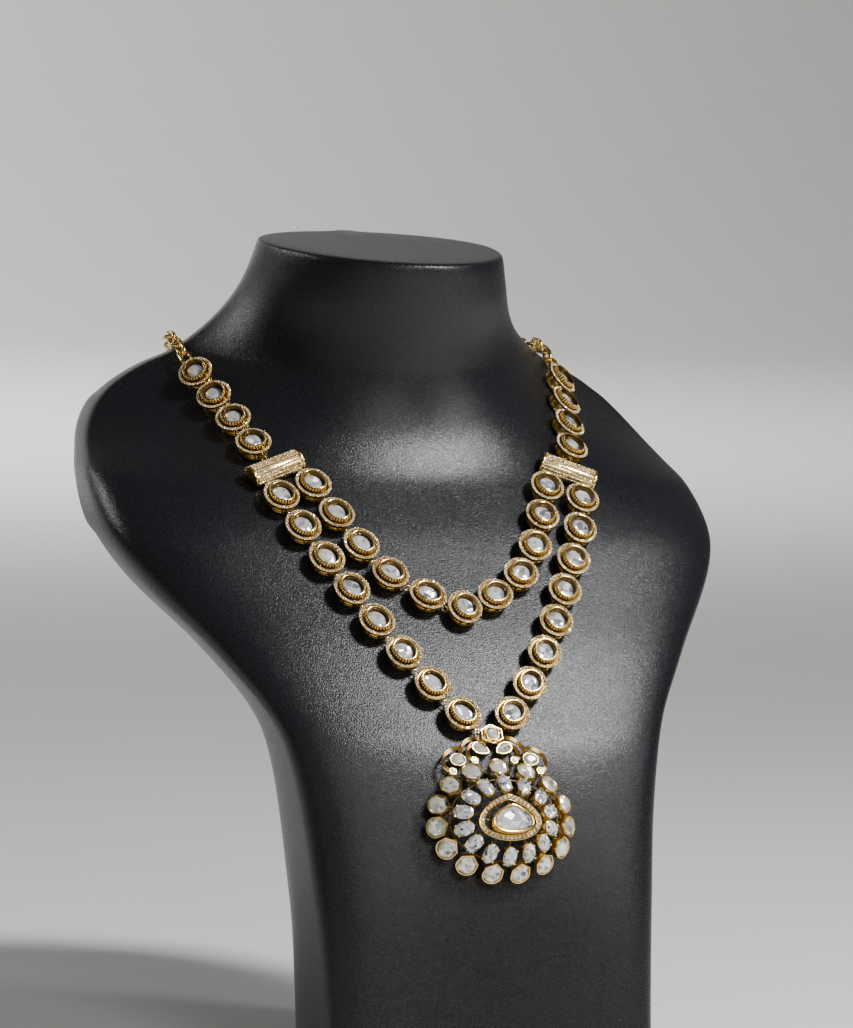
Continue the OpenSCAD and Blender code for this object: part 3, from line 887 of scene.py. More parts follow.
class Workshop:
    """The shared frame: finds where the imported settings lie, and takes the finished pieces."""

    def __init__(self, nodes: dict[str, bpy.types.Object]) -> None:
        """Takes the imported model's nodes.

        Args:
            nodes: The nodes by name.
        """
        self.nodes = nodes
        self.triangles = 0

    def put(self, form: Form, name: str, look: Look, *replaced: str, scale: float = MM) -> None:
        """Names, dresses and places a finished form.

        Args:
            form: The form.
            name: The piece's name.
            look: Its finish; the record's slot that it carries is not put on the piece.
            replaced: The CAD nodes that it stands for.
            scale: Size of the form's unit, in metres.
        """
        piece, slot = form.obj, look.slot
        if scale != 1.0:
            piece.data.transform(Matrix.Scale(scale, 4))
        piece.name = piece.data.name = name
        piece.data.materials.clear()
        piece.data.materials.append(look.material())
        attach(piece, "root")
        if replaced:
            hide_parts(*replaced)
        count = sum(len(p.vertices) - 2 for p in piece.data.polygons)
        self.triangles += count
        log.info("%s: %d triangles", name, count)

    def merged_copy(self, node: str) -> Form:
        """A copy of a node with its corners merged.

        Args:
            node: The node's name.

        Returns:
            The copy, in metres.
        """
        obj = linked(node + "_copy", self.nodes[node].data.copy())
        edit_all()
        bpy.ops.mesh.remove_doubles(threshold=SAME_CORNER)
        leave_edit()
        return Form(obj)

    def solids(self, node: str) -> list[np.ndarray]:
        """Corners of each loose solid of a node.

        Args:
            node: The node's name.

        Returns:
            One table of corners for each solid, in metres.
        """
        form = self.merged_copy(node)
        edit_all()
        bpy.ops.mesh.separate(type="LOOSE")
        leave_edit()
        parts = list({form.obj, *bpy.context.selected_objects})
        clouds = [np.array([v.co for v in part.data.vertices]) for part in parts]
        for part in parts:
            bpy.data.objects.remove(part)
        return sorted(clouds, key=lambda c: (round(float(c[:, 2].mean()), 5), float(c[:, 0].mean())))

    def stone_frames(self, node: str, girdle: float) -> list[Matrix]:
        """Where the settings under a node's flat oval stones lie.

        Args:
            node: The node of the stones.
            girdle: Height of a stone's girdle above the underside of its setting.

        Returns:
            For each stone its setting's place in millimetres, x along the stone and z out of its table.
        """
        frames = []
        for cloud in self.solids(node):
            middle, spread, axes = main_axes(cloud)
            out, along = axes[:, 0], axes[:, 2]
            height = spread @ out
            if float((height * ((spread @ along) ** 2 + (spread @ axes[:, 1]) ** 2)).sum()) > 0:
                out = -out
            frame = Matrix((along, np.cross(out, along), out)).transposed().to_4x4()
            frame.translation = Vector(middle / MM) - girdle * Vector(out)
            frames.append(frame)
        return frames


# The necklace


@dataclass
class SmallStones:
    """The smallest stones and the beads that hold them."""

    stone_d: float = 0.92
    foot: float = 0.8
    table: float = 0.58
    up: float = 0.22
    down: float = 0.3
    pitch: float = 1.14
    claw: float = 0.24

    def stone(self) -> Form:
        """One small stone with eight sides, its girdle at z 0."""
        r = self.stone_d / 2 * self.foot
        form = Form.disc(oval(r, r, 8, 22.5), -self.down).raised(self.down, 1 / self.foot)
        return form.raised(self.up, self.table).done(smooth=0)

    def row(self, line: Outline, z: float) -> list[Matrix]:
        """Places of the stones along a closed line.

        Args:
            line: The middle line of the row.
            z: Height of their girdles.

        Returns:
            Their places.
        """
        length = sum((Vector(b) - Vector(a)).length for a, b in zip(line, line[1:] + line[:1]))
        return [at(x, y, z) for x, y in resampled(line, round(length / self.pitch))]


@dataclass
class StoneLink:
    """One oval link: a rim of small stones round a raised toothed collet with a sunk foiled stone."""

    length: float = 12.4
    width: float = 11.3
    rim_w: float = 1.9
    rim_t: float = 0.8
    rim_h: float = 4.0
    row: float = 0.56
    cup_l: float = 8.2
    cup_w: float = 7.1
    cup_t: float = 0.45
    cup_rise: float = 1.6
    flank: float = 0.42
    edge: float = 0.3
    edge_t: float = 0.3
    narrow: float = 0.885
    well_sink: float = 0.12
    teeth: int = 28
    tooth: Point = (0.3, 0.25, 0.48)
    tooth_lean: float = -13.0
    girdle_sink: float = 1.8
    plate_in: float = 0.14
    plate_sink: float = 0.2
    floor_down: float = 1.0
    floor_t: float = 0.3
    lap: float = 0.1
    claw_rows: tuple[tuple[float, float], ...] = ((0.068, 1.15), (-0.08, 0.85))
    claw_sink: float = 0.08
    stone_up: float = 0.6
    stone_down: float = 0.1
    stone_table: float = 0.6
    rail_t: float = 0.7
    rail_w: float = 0.8
    post_d: float = 0.7
    lug_x: float = 5.445
    lug_h: float = 1.65
    gap: float = 0.1
    small: SmallStones = field(default_factory=SmallStones)

    @property
    def top(self) -> float:
        """Height of the collet's edge above the link's underside."""
        return self.rim_h + self.cup_rise

    @property
    def girdle(self) -> float:
        """Height of the large stone's girdle above the link's underside."""
        return self.top - self.girdle_sink

    def oval(self, more: float, count: int = 48) -> Outline:
        """The link's outline, grown or shrunk.

        Args:
            more: How much it grows.
            count: How many points.

        Returns:
            The outline.
        """
        return oval(self.length / 2 + more, self.width / 2 + more, count)

    def cup_oval(self, more: float, count: int = 48) -> Outline:
        """The cup's outline, grown or shrunk.

        Args:
            more: How much it grows.
            count: How many points.

        Returns:
            The outline.
        """
        return oval(self.cup_l / 2 + more, self.cup_w / 2 + more, count)

    def collet(self) -> Form:
        """The collet's body: a sloping flank outside and a narrowing well for the stone."""
        low, high = self.rim_h - self.rim_t, self.top - 0.04
        lean = self.cup_l / (self.cup_l + 2 * self.flank)
        plate = band(self.oval(-self.plate_in), self.oval(-self.rim_w), low, self.rim_h - self.plate_sink)
        form = Form.disc(self.cup_oval(self.flank), low).raised(high - low, lean)
        form.hollowed(self.edge, self.girdle_sink + 0.2).done(0.04)
        return joined([plate, form])

    def well(self) -> Form:
        """The narrowing wall between the collet's edge and the stone, shown dark with painted shade."""
        depth = self.girdle_sink
        form = Form.disc(self.cup_oval(0.02 - self.edge), self.top - self.well_sink - depth).raised(depth)
        return form.hollowed(0.05, depth - 0.1, self.narrow).done()

    def collet_edge(self) -> Form:
        """The collet's polished edge and the teeth up its flank."""
        places = []
        for x, y in resampled(self.cup_oval(self.flank * 0.45), self.teeth):
            turn = math.degrees(math.atan2(y / self.cup_w**2, x / self.cup_l**2))
            places.append(at(x, y, self.rim_h + self.cup_rise * 0.5, turn, self.tooth_lean))
        long, wide, tall = self.tooth
        teeth = bead(1.0, stretch=(long, wide, self.cup_rise * tall)).copied(places)
        inner = self.cup_oval(-self.edge - 0.03)
        return joined([teeth, band(self.cup_oval(0), inner, self.top - self.edge_t, self.top, 0.1)])

    def metal(self, crosswise: bool) -> Form:
        """The link's metal.

        Args:
            crosswise: Whether its lugs are at its long sides.

        Returns:
            The metal as one form.
        """
        low = self.rim_h - self.rim_t
        inner = self.cup_oval(-self.cup_t / 2)
        parts = [
            self.collet_edge(),
            band(self.cup_oval(0), self.cup_oval(-self.cup_t), 0.0, low + self.lap, 0.1),
            Form.disc(inner, low - self.floor_down).raised(self.floor_t).done(),
            band(self.cup_oval(self.rail_w), inner, 0.0, self.rail_t, 0.2),
        ]
        posts = oval(self.cup_l / 2 + self.rail_w - self.post_d / 3,
                     self.cup_w / 2 + self.rail_w - self.post_d / 3, 8, 22.5)
        post = bar((0, 0, self.rail_t / 2), (0, 0, low + self.lap), self.post_d, 8)
        parts.append(post.copied(at(x, y) for x, y in posts))
        row = self.small.row(self.oval(-self.row), 0)
        between = [row[i].translation.lerp(row[i - 1].translation, 0.5) for i in range(len(row))]
        for reach, size in self.claw_rows:
            places = [at(p.x * (1 + reach), p.y * (1 + reach), self.rim_h - self.claw_sink) for p in between]
            parts.append(bead(self.small.claw * size, stretch=(1, 1, 1.5), fine=1).copied(places))
        turn = 90.0 if crosswise else 0.0
        reach = self.lug_x - (self.length - self.width) / 2 if crosswise else self.lug_x
        start = (self.cup_w if crosswise else self.cup_l) / 2 - self.cup_t / 2
        parts.append(eyelet(start, reach).copied(at(0, 0, self.lug_h, turn + side) for side in (0, 180)))
        return joined(parts)

    def rim_stones(self) -> Form:
        """The rim's small stones."""
        return self.small.stone().copied(self.small.row(self.oval(-self.row), self.rim_h + 0.05))

    def stone(self) -> Form:
        """The large stone."""
        reach = self.edge + self.gap
        floor = [(x * self.narrow, y * self.narrow) for x, y in self.cup_oval(-reach, 14)]
        stone = cut_stone(floor, self.stone_up, self.stone_down, self.stone_table)
        return stone.moved(at(0, 0, self.girdle))


@dataclass
class Strand:
    """A run of stone links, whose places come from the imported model."""

    name: str
    metal_nodes: tuple[str, ...]
    stone_node: str
    link: StoneLink = field(default_factory=StoneLink)

    def build(self, shop: Workshop) -> None:
        """Builds and places the run's metal, small stones and large stones.

        Args:
            shop: The shared frame.
        """
        link = self.link
        frames = shop.stone_frames(self.stone_node, link.girdle)
        for node in self.metal_nodes:
            side = -1 if node.endswith("_left") else 1 if node.endswith("_right") else 0
            mine = [f for f in frames if side == 0 or f.translation.x * side > 0]
            middle = [f for f in mine if abs(f.translation.x) < 1]
            parts = [link.metal(False).copied(f for f in mine if f not in middle)]
            if middle:
                parts.append(link.metal(True).copied(middle))
            shop.put(joined(parts), node + "_metal", Look.GOLD, node)
            # The collets with their base plates, and more strongly the wells, get darker copies of the gold:
            # painted shade in the recesses and between the rim stones
            for make, ending, look in ((link.collet, "_collets", Look.SHADED_GOLD),
                                       (link.well, "_wells", Look.WELL_GOLD),
                                       (link.rim_stones, "_rim_stones", Look.SMALL_STONE)):
                shop.put(make().copied(mine), node + ending, look)
        shop.put(link.stone().copied(frames), self.name + "_flat_stones", Look.FLAT_STONE, self.stone_node)


@dataclass
class SpacerBar:
    """A half-round bar set all over with small stones, between smooth end caps."""

    length: float = 18.4
    width: float = 7.6
    height: float = 4.4
    base: float = 0.7
    cap: float = 0.9
    cap_out: float = 0.25
    strand_gap: float = 11.9
    lug_x: float = 4.275
    lug_h: float = 0.95
    rows: int = 11
    per_row: int = 16
    sink: float = 0.05
    stagger: tuple[float, float] = (0.75, 0.25)
    core_in: float = 0.15
    core_short: float = 0.4
    small: SmallStones = field(default_factory=lambda: SmallStones(stone_d=0.9, claw=0.26))

    def section(self, more: float) -> Outline:
        """The bar's cross section.

        Args:
            more: How much it grows.

        Returns:
            The section's points, across and up.
        """
        arch = [math.radians(f) for f in range(0, 181, 9)]
        half, rise = self.width / 2 + more, self.height + more - self.base
        points = [(half * math.cos(f), self.base + rise * math.sin(f)) for f in arch]
        return points + [(-half, 0.0), (half, 0.0)]

    def block(self, more: float, length: float, middle: float, rounding: float) -> Form:
        """A length of the bar.

        Args:
            more: How much its section grows.
            length: The length.
            middle: Where its middle lies along the bar.
            rounding: Rounding of its edges.

        Returns:
            The block.
        """
        form = Form.disc(self.section(more), -length / 2).raised(length).done(rounding)
        return form.moved(leaning((0, middle, 0), 0))

    def stone_places(self) -> list[Matrix]:
        """Places of the small stones over the arch, in staggered rows.

        Returns:
            The places, z out of the arch.
        """
        places = []
        room = self.length - 2 * self.cap
        half, rise = self.width / 2 - self.sink, self.height - self.base - self.sink
        for r in range(self.rows):
            angle = 180 * (r + 0.5) / self.rows
            x, z = half * math.cos(math.radians(angle)), self.base + rise * math.sin(math.radians(angle))
            for k in range(self.per_row):
                y = room * ((k + self.stagger[r % 2]) / self.per_row - 0.5)
                places.append(at(x, y, z, 0, 90 - angle))
        return places

    def metal(self) -> Form:
        """The bar's metal.

        Returns:
            The metal as one form.
        """
        end = self.length / 2 - self.cap / 2
        parts = [self.block(-self.core_in, self.length - self.core_short, 0, 0.05)]
        parts += [self.block(self.cap_out, self.cap, side * end, 0.2) for side in (-1, 1)]
        claws = [p @ at(0, self.small.stone_d / 2, 0.06) for p in self.stone_places()]
        parts.append(bead(self.small.claw, fine=1).copied(claws))
        spots = [at(0, 0, self.lug_h)] + [at(0, s * self.strand_gap / 2, self.lug_h, 180) for s in (-1, 1)]
        parts.append(eyelet(self.width / 2 - 0.4, self.lug_x).copied(spots))
        return joined(parts)

    def stones(self) -> Form:
        """The bar's small stones."""
        return self.small.stone().copied(self.stone_places())

    def build(self, shop: Workshop) -> None:
        """Builds and places both bars.

        Args:
            shop: The shared frame.
        """
        for node in ("spacer_left", "spacer_right"):
            frame = self.frame_of(shop.solids(node)[0])
            shop.put(self.metal().moved(frame), node + "_metal", Look.GOLD, node)
            shop.put(self.stones().moved(frame), node + "_small_stones", Look.SMALL_STONE)

    def frame_of(self, cloud: np.ndarray) -> Matrix:
        """The place of a bar, from its two end caps and its flat side.

        Args:
            cloud: The bar's corners, in metres.

        Returns:
            The place in millimetres, y along the bar and z out of its arch.
        """
        points = cloud / MM
        middle, spread, axes = main_axes(points)
        along = axes[:, 2]
        reach = np.abs(spread @ along)
        ends = points[reach > reach.max() - 0.02]
        flat = ends - ends.mean(0)
        flat = flat - np.outer(flat @ along, along)
        wide = np.linalg.eigh(flat.T @ flat)[1][:, 2]
        out = np.cross(wide, along)
        if out[1] > 0:
            out = -out
        wide = np.cross(along, out)
        if wide[2] < 0:
            wide, along = -wide, -along
        low, side, span = ((ends - middle) @ axis for axis in (out, wide, along))
        frame = Matrix((wide, along, out)).transposed().to_4x4()
        frame.translation = Vector(middle + low.min() * out + (side.max() + side.min()) / 2 * wide
                                   + (span.max() + span.min()) / 2 * along)
        return frame


@dataclass
class Chains:
    """Joining rings, the plain chain round the back and its clasp."""

    nodes: tuple[str, ...] = ("joining_rings", "back_chain_left", "back_chain_right", "clasp")

    def build(self, shop: Workshop) -> None:
        """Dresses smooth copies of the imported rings, chain links and clasp.

        Args:
            shop: The shared frame.
        """
        for node in self.nodes:
            form = shop.merged_copy(node).done(smooth=50)
            shop.put(form, node + "_polished", Look.WIRE_GOLD, node, scale=1.0)


@dataclass
class Pendant:
    """The domed pierced pendant: petals, ovals, a drop-shaped rim, a middle stone and a scrolled crown."""

    pendant_at: Point = (0.0, -76.0145, 79.7)
    lean: float = 17.4811
    crown_at: Point = (0.0, -70.6873, 95.3)
    crown_lean: float = 35.0067
    petal_a: float = 21.3
    petal_b: float = 16.4
    petal_l: float = 7.5
    petal_w: float = 6.6
    petal_h: float = 2.2
    petal_up: float = 4.4
    petal_shift: float = -0.8
    petal_count: int = 15
    oval_a: float = 14.2
    oval_b: float = 11.1
    oval_l: float = 6.7
    oval_w: float = 4.4
    oval_up: float = 8.0
    oval_h: float = 1.4
    oval_shift: float = -1.3
    oval_count: int = 14
    flare: float = 32.0
    low_flare: float = 8.0
    drop_w: float = 20.2
    drop_h: float = 14.4
    sharp: float = 0.45
    drop_band: float = 1.8
    drop_up: float = 11.0
    drop_shift: float = -0.9
    edge_in: float = 0.14
    middle_w: float = 13.5
    middle_h: float = 9.0
    middle_up: float = 14.0
    middle_shift: float = -1.7
    middle_foot: float = 1.4
    hoop_up: float = 5.1
    hoop_d: float = 0.55
    spoke_d: float = 0.6
    stay_d: float = 0.45
    stay_down: float = 1.0
    joint_d: float = 0.7
    petal_joint: Point = (7.6, 16.3, 1.8)
    outer_joint: Point = (15.1, 12.4, 2.0)
    scroll_wire: float = 0.8
    ridge_out: float = 0.36
    ridge_d: float = 0.46
    bead_d: float = 2.7
    crown_h: float = 2.2
    floor: float = 0.6
    thin_wall: float = 0.28
    petal_wall: float = 0.3
    petal_more: float = 0.15
    petal_gable: float = 1.4
    seat_in: tuple[float, float] = (0.2, 0.8)
    claw_spot: tuple[float, float] = (0.345, 0.4)
    claw_h: float = 0.85
    claw_d: float = 0.5
    claw_bead: float = 0.36
    edge_d: float = 0.3
    stay_ends: tuple[float, float] = (0.9, 0.93)
    pear_w: float = 4.0
    pear_h: float = 5.8
    side_w: float = 2.6
    side_h: float = 2.2
    bead_rim: tuple[float, float] = (1.2, 0.85)
    top_cup: float = 2.35
    top_stone: float = 2.0
    small_up: float = 0.7
    small_down: float = 0.6
    hexagon: Outline = field(default_factory=lambda: [
        (0.0, 3.45), (-3.5, 1.65), (-3.5, -1.65), (0.0, -3.45), (3.5, -1.65), (3.5, 1.65)])
    top_setting: tuple[float, float] = (0.0, 9.8)
    top_h: float = 4.0
    stem_r: float = 1.9
    eye_x: float = 3.25
    eye_h: float = 1.8
    eye_turn: float = 20.5
    pear_setting: tuple[float, float] = (3.7, 5.7)
    pear_turn: float = 118.0
    side_setting: tuple[float, float] = (11.8, 1.9)
    inner_bead: tuple[float, float] = (6.4, 1.6)
    outer_bead: tuple[float, float] = (14.2, -2.2)
    inner_scroll: tuple[tuple[float, float], ...] = (
        (1.9, 7.4), (4.4, 7.9), (6.6, 7.1), (8.1, 5.1), (8.1, 3.0), (6.9, 1.8))
    outer_scroll: tuple[tuple[float, float], ...] = (
        (2.4, 8.8), (5.2, 9.5), (7.9, 8.6), (9.8, 6.4), (10.8, 3.7))
    side_scroll: tuple[tuple[float, float], ...] = (
        (10.0, 5.8), (12.6, 5.8), (15.0, 4.5), (16.5, 2.2), (16.5, -0.2), (15.2, -1.8))
    small: SmallStones = field(default_factory=lambda: SmallStones(stone_d=1.15, pitch=1.35, claw=0.18))

    def body_place(self) -> Matrix:
        """Place of the pendant's dome."""
        return leaning(self.pendant_at, self.lean)

    def crown_place(self) -> Matrix:
        """Place of the crown."""
        return leaning(self.crown_at, self.crown_lean)

    def drop_line(self, count: int) -> Outline:
        """Outline of the drop-shaped rim, of so many points."""
        return drop(self.drop_w, self.drop_h, self.sharp, count)

    def middle_outline(self, count: int) -> Outline:
        """Outline of the middle cup, of so many points."""
        return drop(self.middle_w, self.middle_h, 0.5, count, 0.8)

    def pear(self, count: int) -> Outline:
        """Outline of a pear cup, of so many points."""
        return drop(self.pear_w, self.pear_h, 0.5, count)

    def ring_places(self, a: float, b: float, count: int, up: float, shift: float) -> list[Matrix]:
        """Places round a ring of settings, each facing outwards.

        Args:
            a: Half the ring's width.
            b: Half its height.
            count: How many settings.
            up: Their height.
            shift: How far up the ring's middle lies.

        Returns:
            The places, x outwards.
        """
        places = []
        for i in range(count):
            f = 2 * math.pi * i / count
            turn = math.degrees(math.atan2(math.cos(f) / b, math.sin(f) / a))
            tilt = self.flare + self.low_flare * (1 - math.cos(f)) / 2
            places.append(at(a * math.sin(f), b * math.cos(f) + shift, up, turn, tilt))
        return places

    def petal_places(self) -> list[Matrix]:
        """Places of the petals."""
        return self.ring_places(self.petal_a, self.petal_b, self.petal_count, self.petal_up, self.petal_shift)

    def oval_places(self) -> list[Matrix]:
        """Places of the ovals."""
        return self.ring_places(self.oval_a, self.oval_b, self.oval_count, self.oval_up, self.oval_shift)

    def petal_outline(self) -> Outline:
        """A petal: rounded outside, straight sides, two-sided point inside.

        Returns:
            Its points, the petal's own point first.
        """
        arc = [math.radians(f) for f in range(-80, 81, 10)]
        line = [(-0.5, 0.0), (-0.22, -0.45)]
        line += [(0.07 + 0.43 * math.cos(f), 0.5 * math.sin(f)) for f in arc] + [(-0.22, 0.45)]
        return [(x * self.petal_l, y * self.petal_w) for x, y in line]

    def petal_cup(self) -> Form:
        """A petal's cup, whose thin wall stands higher towards the middle.

        Returns:
            The cup, its edge near z 0.
        """
        form = cup(self.petal_outline(), self.petal_h + self.petal_more, self.floor, self.petal_wall, 0.08)
        for vertex in form.obj.data.vertices:
            if vertex.co.z > self.petal_h - 0.4:
                vertex.co.z += self.petal_gable * max(0.0, 0.1 - vertex.co.x / self.petal_l)
        return form.moved(at(0, 0, -self.petal_h))

    def oval_seat(self) -> Form:
        """An oval's open seat with four claws.

        Returns:
            The seat, its edge near z 0.
        """
        outer, inner = (oval(self.oval_l / 2 - gap, self.oval_w / 2 - gap, 24) for gap in self.seat_in)
        parts = [band(outer, inner, -self.oval_h, -0.1, 0.15)]
        for x, y in ((-1, -1), (-1, 1), (1, -1), (1, 1)):
            spot = (x * self.oval_l * self.claw_spot[0], y * self.oval_w * self.claw_spot[1])
            parts.append(bar((*spot, -self.oval_h), (*spot, self.claw_h), self.claw_d, 8))
            parts.append(bead(self.claw_bead, (spot[0] * 0.95, spot[1] * 0.95, 0.98)))
        return joined(parts)

    def stays(self) -> Form:
        """The thin hoop and bars that hold the dome's settings together.

        Returns:
            The hoop and bars as one form.
        """
        ring = oval(self.petal_a - self.petal_l / 2 - 0.1, self.petal_b - self.petal_l / 2, 72)
        hoop = [(x, y + self.petal_shift, self.hoop_up - 0.3) for x, y in ring]
        parts = [wire(hoop, self.hoop_d, closed=True)]
        level = self.drop_up - self.stay_down
        spokes = drop(self.drop_w - self.drop_band, self.drop_h - self.drop_band, self.sharp, self.oval_count)
        reach = [half - self.oval_l / 2 + 0.5 for half in (self.oval_a, self.oval_b)]
        for i, (x, y) in enumerate(spokes):
            f = -2 * math.pi * i / self.oval_count
            start = (reach[0] * math.sin(f), reach[1] * math.cos(f) + self.oval_shift, self.oval_up + 0.6)
            parts.append(bar(start, (x, y + self.drop_shift, level), self.spoke_d))
        cup_line = drop(self.middle_w, self.middle_h, self.sharp, 24)
        near, far = self.stay_ends
        for (ax, ay), (bx, by) in zip(cup_line[::3], self.drop_line(24)[::3]):
            parts.append(bar((ax * near, ay * near + self.middle_shift, level),
                             (bx * far, by * far + self.drop_shift, level), self.stay_d))
        return joined(parts)

    def body(self) -> Form:
        """The dome's metal, from petals to middle cup.

        Returns:
            The metal as one form.
        """
        parts = [self.petal_cup().copied(self.petal_places()), self.oval_seat().copied(self.oval_places())]
        outer = self.drop_line(72)
        rim = [band(outer, inset(outer, self.drop_band), self.drop_up - 1.2, self.drop_up - 0.25, 0.1)]
        for gap in (self.edge_in, self.drop_band - self.edge_in):
            line = [(x, y, self.drop_up - 0.2) for x, y in inset(outer, gap)]
            rim.append(wire(line, self.edge_d, closed=True))
        parts.append(joined(rim).moved(at(0, self.drop_shift)))
        claws = [at(x * 0.93, y * 0.93 + self.drop_shift, self.drop_up + 0.05)
                 for x, y in resampled(inset(outer, self.drop_band / 2), 72)[::2]]
        parts.append(bead(self.small.claw, fine=1).copied(claws))
        height = self.middle_up - self.drop_up + self.middle_foot
        middle = cup(self.middle_outline(64), height, 2.2, 0.7, 0.28)
        parts.append(middle.moved(at(0, self.middle_shift, self.drop_up - self.middle_foot)))
        return joined(parts)

    def crown(self) -> Form:
        """The crown's metal: top setting, pear and side cups, scrolls and beads.

        Returns:
            The metal as one form.
        """
        top = at(*self.top_setting)
        parts = [
            bar((0, 0, 0), (0, 0, self.top_h - 0.8), 2 * self.stem_r, 24).moved(top),
            cup(self.hexagon, 0.9, 0.35, 0.4, 0.1).moved(top @ at(0, 0, self.top_h - 0.9)),
            cup(oval(self.top_cup, self.top_cup, 32), 1.1, 0.5, 0.32).moved(
                top @ at(0, 0, self.top_h - 0.75)),
        ]
        for side in (-1, 1):
            parts += self.crown_side(side)
        form = joined(parts)
        edit_all()
        return form.done()

    def crown_side(self, side: int) -> list[Form]:
        """One side of the crown.

        Args:
            side: -1 for the left side, 1 for the right.

        Returns:
            Its lug, cups, beads and scrolls.
        """
        level = self.crown_h - 0.6
        turn = self.eye_turn if side > 0 else 180 - self.eye_turn
        parts = [eyelet(self.stem_r - 0.05, self.eye_x).moved(at(*self.top_setting, self.eye_h, turn))]
        for outline, place in ((self.pear(32), at(*self.pear_setting, 0, self.pear_turn)),
                               (oval(self.side_w, self.side_h, 32), at(*self.side_setting))):
            holder = cup(outline, self.crown_h, self.floor, self.thin_wall, 0.1)
            parts.append(holder.moved(mirrored(side) @ place))
        for x, y in (self.inner_bead, self.outer_bead):
            parts.append(bead(self.bead_d / 2, (x * side, y, self.crown_h - 1.0), (1, 1, 0.85), fine=3))
            outer, inner = (oval(r, r, 24) for r in self.bead_rim)
            ring = band(outer, inner, self.crown_h - 0.5, self.crown_h + 0.15, 0.08)
            parts.append(ring.moved(at(x * side, y)))
        for line in (self.inner_scroll, self.outer_scroll):
            start = (1.2 * side, self.top_setting[1] - 0.8, level)
            parts.append(bar(start, (line[0][0] * side, line[0][1], level), self.scroll_wire))
        for line in (self.inner_scroll, self.outer_scroll, self.side_scroll):
            parts += self.scroll(smooth_path([(x * side, y, level) for x, y in line], 6))
        return parts

    def scroll(self, path: Sequence[Vector]) -> list[Form]:
        """A scroll of a core between two finer wires.

        Args:
            path: The scroll's middle line.

        Returns:
            Its three wires.
        """
        ends = [path[0]] + list(path) + [path[-1]]
        sides = [(c - a).cross(Vector((0, 0, 1))).normalized() for a, c in zip(ends, ends[2:])]
        forms = [wire([p - Vector((0, 0, 0.3)) for p in path], self.scroll_wire)]
        for reach in (-self.ridge_out, self.ridge_out):
            ridge = [p + reach * s + Vector((0, 0, 0.25)) for p, s in zip(path, sides)]
            forms.append(wire(ridge, self.ridge_d))
        return forms

    def links(self) -> Form:
        """Bars between crown and petals, in the shared frame.

        Returns:
            The bars as one form.
        """
        parts = []
        for side in (-1, 1):
            for spot, joint in ((self.inner_bead, self.petal_joint), (self.outer_bead, self.outer_joint)):
                start = self.crown_place() @ Vector((spot[0] * side, spot[1], self.crown_h - 0.8))
                end = self.body_place() @ Vector((joint[0] * side, joint[1], joint[2]))
                parts.append(bar(start, end, self.joint_d))
        return joined(parts)

    def halo_stones(self) -> Form:
        """Small stones of the drop-shaped rim."""
        places = self.small.row(inset(self.drop_line(72), self.drop_band / 2), self.drop_up)
        return self.small.stone().copied(places).moved(at(0, self.drop_shift))

    def petal_stone(self) -> Form:
        """A petal's stone."""
        return cut_stone(inset(self.petal_outline(), 0.42), 0.75, 0.6, 0.6).moved(at(0.08, 0, -0.35))

    def oval_stone(self) -> Form:
        """A clear oval stone with many facets."""
        outline = oval(self.oval_l / 2 + 0.05, self.oval_w / 2, 16)
        return cut_stone(outline, 0.85, 0.6, 0.5).moved(at(0, 0, 0.6))

    def middle_stone(self) -> Form:
        """The large stone in the middle."""
        stone = cut_stone(inset(self.middle_outline(20), 0.75), 1.0, 0.8, 0.7)
        return stone.moved(at(0, self.middle_shift, self.middle_up - 0.5))

    def crown_stones(self) -> Form:
        """The stones of the crown.

        Returns:
            The stones as one form.
        """
        lift = self.crown_h - 0.3
        top = cut_stone(oval(self.top_stone, self.top_stone, 10, 18), 0.8, 0.4)
        parts = [top.moved(at(*self.top_setting, self.top_h + 0.05))]
        for side in (-1, 1):
            pear_place = at(*self.pear_setting, lift, self.pear_turn)
            side_place = at(*self.side_setting, lift)
            rows = [(inset(self.pear(16), 0.4), self.small_up, self.small_down, pear_place),
                    (oval(2.2, 1.8, 16, 11.25), self.small_up, self.small_down, side_place)]
            rows += [(oval(self.bead_rim[1], self.bead_rim[1], 10), 0.35, 0.2, at(*spot, self.crown_h - 0.05))
                     for spot in (self.inner_bead, self.outer_bead)]
            for outline, up, down, place in rows:
                parts.append(cut_stone(outline, up, down).moved(mirrored(side) @ place))
        form = joined(parts)
        edit_all()
        return form.done(smooth=0)

    def build(self, shop: Workshop) -> None:
        """Builds and places the pendant's pieces.

        Args:
            shop: The shared frame.
        """
        body, crown = self.body_place(), self.crown_place()
        metal = joined([self.body().moved(body), self.crown().moved(crown), self.links()])
        shop.put(metal, "pendant_metal", Look.GOLD, "pendant_frame")
        # The hoop and bars under the settings get the darkest gold: painted shade
        shop.put(self.stays().moved(body), "pendant_stays", Look.WELL_GOLD)
        petals = self.petal_stone().copied(self.petal_places())
        shop.put(petals.moved(body), "petal_stones", Look.PETAL_STONE, "pendant_petal_stones")
        ovals = self.oval_stone().copied(self.oval_places())
        shop.put(ovals.moved(body), "oval_stones", Look.OVAL_STONE, "pendant_oval_stones")
        shop.put(self.middle_stone().moved(body), "middle_stone", Look.FLAT_STONE, "pendant_middle_stone")
        shop.put(self.crown_stones().moved(crown), "crown_stones", Look.PETAL_STONE, "pendant_crown_stones")
        shop.put(self.halo_stones().moved(body), "halo_small_stones", Look.SMALL_STONE)


